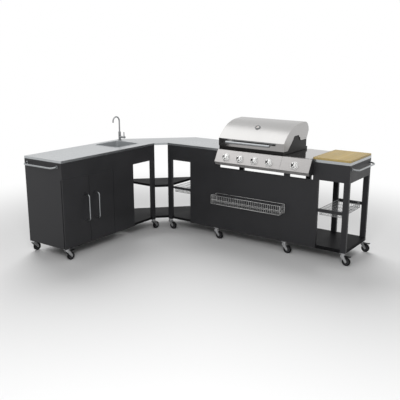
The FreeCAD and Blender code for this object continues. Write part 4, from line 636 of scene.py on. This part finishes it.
def new_tree(name, inputs):
    """A geometry tree with named inputs of (name, kind, default)."""
    tree = bpy.data.node_groups.new(name, "GeometryNodeTree")
    tree.interface.new_socket("Geometry", in_out="INPUT", socket_type="NodeSocketGeometry")
    for label, kind, default in inputs:
        socket = tree.interface.new_socket(label, in_out="INPUT", socket_type=kind)
        if default is not None:
            socket.default_value = default
    tree.interface.new_socket("Geometry", in_out="OUTPUT", socket_type="NodeSocketGeometry")
    nodes = Nodes(tree)
    return tree, nodes, nodes.add("NodeGroupInput").outputs


def end_tree(nodes, geometry, entry):
    """Realizes the instances and sets the material, which every tree ends with."""
    real = nodes.add("GeometryNodeRealizeInstances", {0: geometry})
    painted = nodes.add("GeometryNodeSetMaterial", {
        "Geometry": real.outputs[0], "Material": entry["Material"],
    })
    nodes.add("NodeGroupOutput", {0: painted.outputs[0]})


def wire_net_tree():
    """A flat net of round wires in X and Y: crosswise wires, lengthwise wires and a thicker rim."""
    tree, nodes, entry = new_tree("wire_net", [
        ("Length", "NodeSocketFloat", 0.4),
        ("Width", "NodeSocketFloat", 0.1),
        ("Crosswise", "NodeSocketInt", 10),
        ("Lengthwise", "NodeSocketInt", 2),
        ("Wire radius", "NodeSocketFloat", 0.0015),
        ("Rim radius", "NodeSocketFloat", 0.0025),
        ("Material", "NodeSocketMaterial", None),
    ])
    joiner = nodes.add("GeometryNodeJoinGeometry")
    nodes.feed(joiner, {0: wire_family(nodes, entry, "Crosswise", "Length", "Width")})
    nodes.feed(joiner, {0: wire_family(nodes, entry, "Lengthwise", "Width", "Length")})
    nodes.feed(joiner, {0: wire_rim(nodes, entry)})
    end_tree(nodes, joiner.outputs[0], entry)
    return tree


def axis_vector(nodes, run, value):
    """A vector with one number on the axis that the run names."""
    return nodes.add("ShaderNodeCombineXYZ", {"X" if run == "Length" else "Y": value}).outputs[0]


def tube(nodes, curve, radius, sides, capped):
    """A round tube along a curve."""
    circle = nodes.add("GeometryNodeCurvePrimitiveCircle", {"Resolution": sides, "Radius": radius})
    return nodes.add("GeometryNodeCurveToMesh", {
        "Curve": curve, "Profile Curve": circle.outputs[0], "Fill Caps": capped,
    }).outputs[0]


def wire_family(nodes, entry, count, run, across):
    """Equal wires spread along one side of the net and reaching across it."""
    gaps = nodes.calc("ADD", entry[count], 1)
    step = axis_vector(nodes, run, nodes.calc("DIVIDE", entry[run], gaps))
    line = nodes.add("GeometryNodeMeshLine", mode="OFFSET")
    nodes.feed(line, {"Count": entry[count], "Start Location": step, "Offset": step})
    wire = nodes.add("GeometryNodeCurvePrimitiveLine", {"End": axis_vector(nodes, across, entry[across])})
    round_wire = tube(nodes, wire.outputs[0], entry["Wire radius"], WIRE_SIDES, capped=True)
    return nodes.add("GeometryNodeInstanceOnPoints", {
        "Points": line.outputs[0], "Instance": round_wire,
    }).outputs[0]


def wire_rim(nodes, entry):
    """The thicker wire round the net's edge."""
    outline = nodes.add("GeometryNodeCurvePrimitiveQuadrilateral", {
        "Width": entry["Length"], "Height": entry["Width"],
    })
    middle = nodes.add("ShaderNodeCombineXYZ", {
        "X": nodes.calc("MULTIPLY", entry["Length"], 0.5), "Y": nodes.calc("MULTIPLY", entry["Width"], 0.5),
    })
    moved = nodes.add("GeometryNodeTransform", {
        "Geometry": outline.outputs[0], "Translation": middle.outputs[0],
    })
    return tube(nodes, moved.outputs[0], entry["Rim radius"], RIM_SIDES, capped=False)


def screw_tree():
    """A domed head on every point of the mesh, facing along the point's outward direction."""
    tree, nodes, entry = new_tree("screw_heads", [
        ("Radius", "NodeSocketFloat", 0.004),
        ("Height", "NodeSocketFloat", 0.002),
        ("Material", "NodeSocketMaterial", None),
    ])
    dome = nodes.add("GeometryNodeMeshUVSphere", {
        "Segments": HEAD_SIDES, "Rings": HEAD_RINGS, "Radius": entry["Radius"],
    })
    squash = nodes.add("ShaderNodeCombineXYZ", {
        "X": 1, "Y": 1, "Z": nodes.calc("DIVIDE", entry["Height"], entry["Radius"]),
    })
    flat = nodes.add("GeometryNodeTransform", {"Geometry": dome.outputs["Mesh"], "Scale": squash.outputs[0]})
    smooth = nodes.add("GeometryNodeSetShadeSmooth", {0: flat.outputs[0]})
    outward = nodes.add("GeometryNodeInputNamedAttribute", {"Name": "outward"}, data_type="FLOAT_VECTOR")
    align = nodes.add("FunctionNodeAlignRotationToVector", {"Vector": outward.outputs["Attribute"]}, axis="Z")
    spread = nodes.add("GeometryNodeInstanceOnPoints", {
        "Points": entry["Geometry"], "Instance": smooth.outputs[0], "Rotation": align.outputs["Rotation"],
    })
    end_tree(nodes, spread.outputs[0], entry)
    return tree


TREES = {}


def grown(tree_name, base, inputs):
    """The plain mesh that a tree makes on a base mesh."""
    tree = TREES[tree_name]
    holder = bpy.data.objects.new("holder", base)
    bpy.context.scene.collection.objects.link(holder)
    modifier = holder.modifiers.new(tree_name, "NODES")
    modifier.node_group = tree
    sockets = {item.name: item.identifier for item in tree.interface.items_tree if item.in_out == "INPUT"}
    for label, value in inputs.items():
        modifier[sockets[label]] = value
    graph = bpy.context.evaluated_depsgraph_get()
    mesh = bpy.data.meshes.new_from_object(holder.evaluated_get(graph))
    bpy.data.objects.remove(holder)
    return mesh


def net_mesh(length, width, crosswise, lengthwise, wire, rim):
    """A flat wire net from its corner along X and Y."""
    return grown("wire_net", bpy.data.meshes.new("net_base"), {
        "Length": length, "Width": width, "Crosswise": crosswise, "Lengthwise": lengthwise,
        "Wire radius": wire, "Rim radius": rim, "Material": MATERIALS["wire"],
    })


def screws(name, spots, radius, height, node):
    """Zinc-plated heads at (place, outward) spots of a CAD node."""
    base = bpy.data.meshes.new("screw_spots")
    base.from_pydata([tuple(place) for place, _ in spots], [], [])
    outward = base.attributes.new("outward", "FLOAT_VECTOR", "POINT")
    for item, (_, direction) in zip(outward.data, spots):
        item.vector = direction
    mesh = grown("screw_heads", base, {"Radius": radius, "Height": height, "Material": MATERIALS["zinc"]})
    return finish_piece(name, mesh, "zinc", node)


# Cabinets, shelves, doors, worktops and sink


class KITCHEN_OT_cabinets(bpy.types.Operator):
    """Posts, panels, aprons, shelves and doors in powder coat"""

    bl_idname = "kitchen.cabinets"
    bl_label = "Cabinets"

    def execute(self, context):
        edge = context.scene.kitchen_sizes.fold
        dressed("frame_posts", "posts_and_rails", "coat", edge)
        dressed("cladding", "panels_and_aprons", "coat", edge)
        # The shelves take the coat darkened as painted shade of the bays
        dressed("shelves", "shelf_boards", "shelf_coat_painted_shade", edge)
        for side in ("left", "right"):
            dressed(f"door_{side}", f"cabinet_door_{side}", "coat", edge)
            dressed(f"handle_{side}", f"door_bow_{side}", "steel_soft", angle=TUBE_ANGLE)
        return {"FINISHED"}


class KITCHEN_OT_worktops(bpy.types.Operator):
    """Steel worktops, sink bowl, tap and chopping board"""

    bl_idname = "kitchen.worktops"
    bl_label = "Worktops and sink"

    def execute(self, context):
        edge = context.scene.kitchen_sizes.edge
        dressed("sink_worktop", "sink_wing_top", "steel_y", edge)
        dressed("worktops", "corner_and_side_tops", "steel_x", edge)
        dressed("sink_basin", "pressed_bowl", "basin", angle=ROUND_ANGLE)
        dressed("cutting_board", "chopping_board", "wood", angle=ROUND_ANGLE)
        dressed("tap_body", "tap_column", "chrome", FINE_EDGE, ROUND_ANGLE)
        dressed("tap_spout", "swan_neck_spout", "chrome", angle=TUBE_ANGLE)
        dressed("tap_lever", "side_lever", "chrome", FINE_EDGE, ROUND_ANGLE)
        dressed("towel_bars", "towel_bows", "steel_soft", angle=TUBE_ANGLE)
        return {"FINISHED"}


# Grill


class KITCHEN_OT_grill(bpy.types.Operator):
    """Hood, firebox, grates, burners, control panel, knobs and side burner"""

    bl_idname = "kitchen.grill"
    bl_label = "Grill"

    def execute(self, context):
        edge = context.scene.kitchen_sizes.edge
        self.hood(edge)
        dressed("firebox", "enamelled_firebox", "enamel", edge)
        dressed("cooking_grates", "cast_grates", "iron", CAST_EDGE)
        dressed("burners", "burners_and_tamers", "steel_soft", angle=ROUND_ANGLE)
        dressed("grease_tray", "sliding_grease_tray", "steel_x", edge)
        self.bezels(dressed("control_panel", "leaning_control_panel", "panel", edge))
        for knob in KNOBS:
            self.knob(knob)
        dressed("side_burner", "side_burner_pan", "steel_x", edge, ROUND_ANGLE)
        dressed("side_burner_lid", "flat_side_lid", "band", edge, ROUND_ANGLE)
        return {"FINISHED"}

    def hood(self, edge):
        """The hood with a polished band along its front, and its handle with a chrome gauge."""
        hood = dressed("hood", "roll_top_hood", "hood", edge)
        band_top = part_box("hood")[0].z + BAND_HEIGHT
        material_on_faces(hood, "band", lambda spot, normal: spot.z < band_top and normal.y < BAND_FACING)
        bar = dressed("hood_handle", "hood_bar", "steel_soft", FINE_EDGE, ROUND_ANGLE)
        gauge_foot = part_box("hood_handle")[1].z - GAUGE_SPAN
        material_on_faces(bar, "chrome", lambda spot, normal: spot.z > gauge_foot)

    def bezels(self, panel):
        """Grey bezels round the knobs, each with a bright round ring on it."""
        joints = [JOINTS[BODY_OF[node]] for node in KNOBS]
        outward = Vector(joints[0]["axis"])
        centres = [Vector(joint["pos_m"]) for joint in joints]

        def on_bezel(spot, normal):
            near = min(centres, key=lambda centre: (spot - centre).length)
            away = spot - near
            return away.length < BEZEL_RADIUS and away.dot(outward) > BEZEL_FOOT and (
                normal.dot(outward) > BEZEL_FACING
            )

        material_on_faces(panel, "bezel", on_bezel)
        ring = turned(metres(BEZEL_RING), ROUND_STEPS)
        rings = [(ring, facing(centre, outward)) for centre in centres]
        assembled("bezel_rings", rings, "knob", "control_panel")

    def knob(self, node):
        """A chrome knob with a ring round its crown, the ring's lower-left half black as a painted dark
        reflection, and a black inlay along its grip.
        """
        piece = dressed(node, f"turned_{node}", "knob", MOULDED_EDGE, ROUND_ANGLE)
        joint = JOINTS[BODY_OF[node]]
        centre, outward = Vector(joint["pos_m"]), Vector(joint["axis"])
        upward = X_AXIS.cross(outward)
        upward *= math.copysign(1, upward.z)
        top = max((corner.co - centre).dot(outward) for corner in piece.data.vertices)
        origin = centre + outward * (top - INLAY_SINK) + upward * INLAY_RISE
        matrix = axes_matrix(origin, upward.cross(outward), upward, outward)
        assembled(f"pointer_{node}", [(bevelled_box(*INLAY_SIZE, TRIM_EDGE), matrix)], "jet", node)
        crown = facing(centre + outward * (top - GRIP_HEIGHT), outward)
        ring = turned(metres(CROWN_RING), ROUND_STEPS)
        ring_piece = assembled(f"crown_ring_{node}", [(ring, crown)], "knob", node)
        # Painted dark reflection: the lower-left half of the crown ring is black
        dark_reflection_side = X_AXIS * DARK_REFLECTION_ACROSS + upward * DARK_REFLECTION_UP
        material_on_faces(ring_piece, "jet", lambda spot, normal: (spot - centre).dot(dark_reflection_side) > DARK_REFLECTION_FROM)


# Wire goods


class KITCHEN_OT_wire_goods(bpy.types.Operator):
    """Spice rack and the two wire baskets"""

    bl_idname = "kitchen.wire_goods"
    bl_label = "Wire goods"

    def execute(self, context):
        sizes = context.scene.kitchen_sizes
        self.rack(sizes)
        self.basket("corner_basket", "bay_wire_basket", CORNER_BASKET_WIRES, sizes)
        self.basket("trolley_basket", "trolley_wire_basket", TROLLEY_BASKET_WIRES, sizes)
        return {"FINISHED"}

    def rack(self, sizes):
        """A long shallow rack: front, floor, two ends and a back rim."""
        low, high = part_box("spice_rack")
        rim, wire = sizes.rim, sizes.wire
        length, reach, height = (side - 2 * rim for side in high - low)
        start = low + Vector((rim, rim, rim))
        front = net_mesh(length, height, RACK_WIRES, 1, wire, rim)
        floor = net_mesh(length, reach, RACK_WIRES, 0, wire, rim)
        end = net_mesh(reach, height, RACK_END_WIRES, 1, wire, rim)
        back = net_mesh(length, height, 0, 0, wire, rim)
        parts = [
            (front, axes_matrix(start, X_AXIS, Z_AXIS, -Y_AXIS)),
            (floor, axes_matrix(start, X_AXIS, Y_AXIS, Z_AXIS)),
            (end, axes_matrix(start, Y_AXIS, Z_AXIS, X_AXIS)),
            (end, axes_matrix(start + X_AXIS * length, Y_AXIS, Z_AXIS, X_AXIS)),
            (back, axes_matrix(start + Y_AXIS * reach, X_AXIS, Z_AXIS, -Y_AXIS)),
        ]
        assembled("spice_rack_wires", parts, "rack_wire", "spice_rack", ("spice_rack",))

    def basket(self, node, name, wires, sizes):
        """A wire basket with hooks that lie over the rails."""
        low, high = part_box(node)
        rim, wire = sizes.rim, sizes.wire
        along_wires, end_wires = wires
        start = low + Vector((rim, HOOK_REACH + rim, rim))
        length = high.x - low.x - 2 * rim
        span = high.y - low.y - 2 * (HOOK_REACH + rim)
        height = high.z - low.z - HOOK_RISE - 2 * rim
        side = net_mesh(length, height, along_wires, 1, wire, rim)
        end = net_mesh(span, height, end_wires, 1, wire, rim)
        floor = net_mesh(length, span, along_wires, BASKET_FLOOR_RUNS, wire, wire)
        parts = [
            (side, axes_matrix(start, X_AXIS, Z_AXIS, -Y_AXIS)),
            (side, axes_matrix(start + Y_AXIS * span, X_AXIS, Z_AXIS, -Y_AXIS)),
            (end, axes_matrix(start, Y_AXIS, Z_AXIS, X_AXIS)),
            (end, axes_matrix(start + X_AXIS * length, Y_AXIS, Z_AXIS, X_AXIS)),
            (floor, axes_matrix(start, X_AXIS, Y_AXIS, Z_AXIS)),
        ]
        reach = HOOK_REACH + 2 * rim
        hook = turned([(0, 0), (rim, 0), (rim, reach), (0, reach)], HOOK_STEPS)
        for x in (low.x + rim, high.x - rim):
            parts.append((hook, facing(Vector((x, low.y + reach, high.z - rim)), -Y_AXIS)))
            parts.append((hook, facing(Vector((x, high.y - reach, high.z - rim)), Y_AXIS)))
        assembled(name, parts, "wire", node, (node,))


# Casters


class KITCHEN_OT_casters(bpy.types.Operator):
    """Caster plates, forks, wheels and brake pedals"""

    bl_idname = "kitchen.casters"
    bl_label = "Casters"

    def execute(self, context):
        dressed("caster_plates", "caster_mounts", "zinc", PLATE_EDGE)
        tyre = turned(metres(mirrored(TYRE_SECTION)), ROUND_STEPS)
        hub = turned(metres(mirrored(HUB_SECTION)))
        for caster in CASTERS:
            fork, wheel, pedal = f"fork_{caster}", f"wheel_{caster}", f"pedal_{caster}"
            dressed(fork, f"caster_fork_{caster}", "zinc", PLATE_EDGE)
            joint = JOINTS[BODY_OF[wheel]]
            matrix = facing(Vector(joint["pos_m"]), joint["axis"])
            assembled(f"tyre_{caster}", [(tyre, matrix)], "tyre", wheel, (wheel,))
            assembled(f"hub_{caster}", [(hub, matrix)], "hub", wheel)
            if pedal in frame["nodes"]:
                dressed(pedal, f"brake_pedal_{caster}", "plastic", MOULDED_EDGE)
        return {"FINISHED"}


# Trim


class KITCHEN_OT_trim(bpy.types.Operator):
    """Gauge face, sink strainer, hinge caps and screws"""

    bl_idname = "kitchen.trim"
    bl_label = "Trim"

    def execute(self, context):
        radius = context.scene.kitchen_sizes.screw
        self.panel_screws(radius)
        self.hinge_caps(radius)
        self.gauge_face()
        self.sink_strainer()
        return {"FINISHED"}

    def dial_matrix(self):
        """The middle of the dial's seat inside the gauge's bezel, with Z outward."""
        outward = Vector(GAUGE_OUTWARD)
        corners = [vertex.co for vertex in frame["nodes"]["hood_handle"].data.vertices]
        foot = max(corner.z for corner in corners) - GAUGE_SPAN
        gauge = [Vector(corner) for corner in corners if corner.z > foot]
        middle = sum(gauge, Vector()) / len(gauge)
        base = min(corner.dot(outward) for corner in gauge)
        spot = middle + outward * (base + DIAL_LEVEL - middle.dot(outward))
        return axes_matrix(spot, X_AXIS, outward.cross(X_AXIS), outward)

    def gauge_face(self):
        """The gauge's dial with a ring and ticks, and its needle on a small hub."""
        seat = self.dial_matrix()
        thick = DIAL_THICKNESS
        face = turned([(0, 0), (DIAL_RADIUS, 0), (DIAL_RADIUS, thick), (0, thick)])
        inner, outer = DIAL_RADIUS * SCALE_INNER, DIAL_RADIUS * SCALE_OUTER
        ring = turned([
            (inner, thick), (outer, thick), (outer, thick * 2), (inner, thick * 2), (inner, thick),
        ])
        marks = [(ring, seat)]
        tick = bevelled_box(DIAL_RADIUS * TICK_LENGTH, TICK_WIDTH, thick, thick / 4)
        for index in range(TICKS):
            turn = TICK_START + index * TICK_SWEEP / (TICKS - 1)
            marks.append((tick, seat @ self.on_dial(turn, TICK_PLACE, thick * 1.4)))
        needle = bevelled_box(DIAL_RADIUS * NEEDLE_LENGTH, NEEDLE_WIDTH, thick, thick / 4)
        post = [(0, thick), (NEEDLE_HUB, thick), (NEEDLE_HUB, thick * 3), (0, thick * 3)]
        hub = turned(post, NEEDLE_HUB_STEPS)
        hand = [(needle, seat @ self.on_dial(NEEDLE_TURN, NEEDLE_PLACE, thick * 2.2)), (hub, seat)]
        assembled("gauge_dial", [(face, seat)], "dial", "hood_handle")
        assembled("gauge_scale", marks, "ink", "hood_handle")
        assembled("gauge_needle", hand, "needle", "hood_handle")

    def on_dial(self, turn, share, level):
        """A place on the dial from its angle, its share of the radius and its level."""
        place = Matrix.Translation((DIAL_RADIUS * share, 0, level))
        return Matrix.Rotation(math.radians(turn), 4, "Z") @ place

    def sink_strainer(self):
        """A flat strainer over the bowl's waste: a ring with three crossed bars."""
        low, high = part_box("sink_basin")
        middle = Vector(((low.x + high.x) / 2, (low.y + high.y) / 2, high.z - BOWL_DEPTH))
        parts = [(turned(metres(STRAINER_SECTION)), Matrix.Translation(middle))]
        bar = bevelled_box(*STRAINER_BAR, TRIM_EDGE)
        lifted = Matrix.Translation(middle + Z_AXIS * STRAINER_BAR_LIFT)
        for index in range(STRAINER_BARS):
            parts.append((bar, lifted @ Matrix.Rotation(math.pi * index / STRAINER_BARS, 4, "Z")))
        assembled("sink_strainer", parts, "chrome", "sink_basin")

    def panel_screws(self, radius):
        """Screws along the control panel's top flange."""
        low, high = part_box("control_panel")
        step = (high.x - low.x - 2 * FLANGE_INSET) / (FLANGE_SCREWS - 1)
        spots = []
        for index in range(FLANGE_SCREWS):
            place = Vector((low.x + FLANGE_INSET + index * step, low.y + FLANGE_BACK, high.z))
            spots.append((place, Z_AXIS))
        wide, tall = (share * radius for share in FLANGE_HEAD)
        screws("panel_flange_screws", spots, wide, tall, "control_panel")

    def hinge_caps(self, radius):
        """Domed caps on the hinge pins at the hood's two ends."""
        low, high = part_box("hood")
        _, y, z = JOINTS[BODY_OF["hood"]]["pos_m"]
        spots = [(Vector((low.x, y, z)), -X_AXIS), (Vector((high.x, y, z)), X_AXIS)]
        wide, tall = (share * radius for share in HINGE_CAP)
        screws("hood_hinge_caps", spots, wide, tall, "hood")


# Stage


class KITCHEN_OT_stage(bpy.types.Operator):
    """Floor, soft lamps, white surroundings and the camera"""

    bl_idname = "kitchen.stage"
    bl_label = "Stage"

    def execute(self, context):
        self.floor()
        self.surroundings(context.scene)
        self.lamps()
        self.camera(context.scene)
        context.scene.view_settings.view_transform = "Standard"
        return {"FINISHED"}

    def floor(self):
        """A pale floor that fades to the white of the surroundings away from the island."""
        mesh = bpy.data.meshes.new("studio_floor")
        corners = [(x * FLOOR_REACH, y * FLOOR_REACH, 0) for x, y in ((-1, -1), (1, -1), (1, 1), (-1, 1))]
        mesh.from_pydata(corners, [], [(0, 1, 2, 3)])
        ground = bpy.data.objects.new("studio_floor", mesh)
        bpy.context.scene.collection.objects.link(ground)
        made = bpy.data.materials.new("pale_floor")
        nodes = cleared(made)
        matte = nodes.add("ShaderNodeBsdfDiffuse", {"Color": colour(FLOOR_SHADE, FLOOR_SHADE, FLOOR_SHADE)})
        glow = nodes.add("ShaderNodeEmission", {"Color": WHITE, "Strength": 1})
        place = nodes.add("ShaderNodeTexCoord")
        distance = nodes.add("ShaderNodeVectorMath", {0: place.outputs["Object"]}, operation="LENGTH")
        fade = nodes.add("ShaderNodeMapRange", interpolation_type="SMOOTHSTEP")
        nodes.feed(fade, {
            "Value": distance.outputs["Value"], "From Min": FADE_START, "From Max": FADE_END,
        })
        seen = nodes.calc("MULTIPLY", fade.outputs["Result"], direct_ray(nodes))
        blend = nodes.add("ShaderNodeMixShader", {0: seen, 1: matte.outputs[0], 2: glow.outputs[0]})
        nodes.add("ShaderNodeOutputMaterial", {"Surface": blend.outputs[0]})
        mesh.materials.append(made)

    def surroundings(self, scene):
        """White where it is seen straight or in a reflection, and a plain level of light elsewhere."""
        world = bpy.data.worlds.new("white_surroundings")
        nodes = cleared(world)
        light = nodes.add("ShaderNodeBackground", {"Color": WHITE, "Strength": AMBIENT_LIGHT})
        white = nodes.add("ShaderNodeBackground", {"Color": WHITE, "Strength": 1})
        blend = nodes.add("ShaderNodeMixShader", {
            0: direct_ray(nodes), 1: light.outputs[0], 2: white.outputs[0],
        })
        nodes.add("ShaderNodeOutputWorld", {"Surface": blend.outputs[0]})
        scene.world = world

    def lamps(self):
        """A wide low sun behind the island for its long soft shadow, and disc softboxes."""
        sun = bpy.data.lights.new("window_light", "SUN")
        sun.angle = math.radians(SUN_SPREAD)
        sun.energy = SUN_POWER
        self.hang(sun, (0, 0, 0), Vector(SUN_FROM), True, False)
        for name, place, aim, width, power, matt, mirrors in LAMPS:
            lamp = bpy.data.lights.new(name, "AREA")
            lamp.shape = "DISK"
            lamp.size = width
            lamp.energy = power
            self.hang(lamp, place, Vector(place) - Vector(aim), matt, mirrors)

    def hang(self, lamp, place, back, matt, mirrors):
        """Hangs a lamp with its back in a direction, and says what it lights."""
        holder = bpy.data.objects.new(lamp.name, lamp)
        holder.location = place
        holder.rotation_euler = back.to_track_quat("Z", "Y").to_euler()
        holder.visible_diffuse = matt
        holder.visible_glossy = mirrors
        bpy.context.scene.collection.objects.link(holder)

    def camera(self, scene):
        """The photograph's viewpoint."""
        lens = bpy.data.cameras.new("photo_view")
        lens.sensor_width = SENSOR_WIDTH
        lens.lens = FOCAL_PIXELS / PICTURE_PIXELS * SENSOR_WIDTH
        lens.clip_end = CAMERA_REACH
        holder = bpy.data.objects.new("photo_view", lens)
        holder.location = CAMERA_PLACE
        holder.rotation_euler = Euler((math.radians(90 - CAMERA_TILT), 0, math.radians(CAMERA_AZIMUTH)))
        scene.collection.objects.link(holder)
        scene.camera = holder


def direct_ray(nodes):
    """1 for rays that come from the camera, a mirror or glass."""
    path = nodes.add("ShaderNodeLightPath").outputs
    straight = nodes.calc("MAXIMUM", path["Is Camera Ray"], path["Is Glossy Ray"])
    return nodes.calc("MAXIMUM", straight, path["Is Transmission Ray"])


# Panel and registration


class KITCHEN_PT_panel(bpy.types.Panel):
    """The island's operators and settings"""

    bl_label = "Outdoor Kitchen"
    bl_idname = "KITCHEN_PT_panel"
    bl_space_type = "VIEW_3D"
    bl_region_type = "UI"
    bl_category = "Kitchen"

    def draw(self, context):
        for settings in (context.scene.kitchen_finish, context.scene.kitchen_sizes):
            for name in settings.__annotations__:
                self.layout.prop(settings, name)
        for operator in OPERATORS:
            self.layout.operator(operator.bl_idname)


OPERATORS = (
    KITCHEN_OT_stage,
    KITCHEN_OT_cabinets,
    KITCHEN_OT_worktops,
    KITCHEN_OT_grill,
    KITCHEN_OT_wire_goods,
    KITCHEN_OT_casters,
    KITCHEN_OT_trim,
)
CLASSES = (KitchenFinish, KitchenSizes, *OPERATORS, KITCHEN_PT_panel)


def register():
    for item in CLASSES:
        bpy.utils.register_class(item)
    bpy.types.Scene.kitchen_finish = bpy.props.PointerProperty(type=KitchenFinish)
    bpy.types.Scene.kitchen_sizes = bpy.props.PointerProperty(type=KitchenSizes)


def unregister():
    del bpy.types.Scene.kitchen_sizes
    del bpy.types.Scene.kitchen_finish
    for item in reversed(CLASSES):
        bpy.utils.unregister_class(item)


def main():
    """Dresses the island and sets the stage."""
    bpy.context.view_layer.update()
    register()
    make_materials(bpy.context.scene.kitchen_finish)
    TREES["wire_net"] = wire_net_tree()
    TREES["screw_heads"] = screw_tree()
    for operator in OPERATORS:
        group, action = operator.bl_idname.split(".")
        getattr(getattr(bpy.ops, group), action)()


if __name__ == "__main__":
    main()
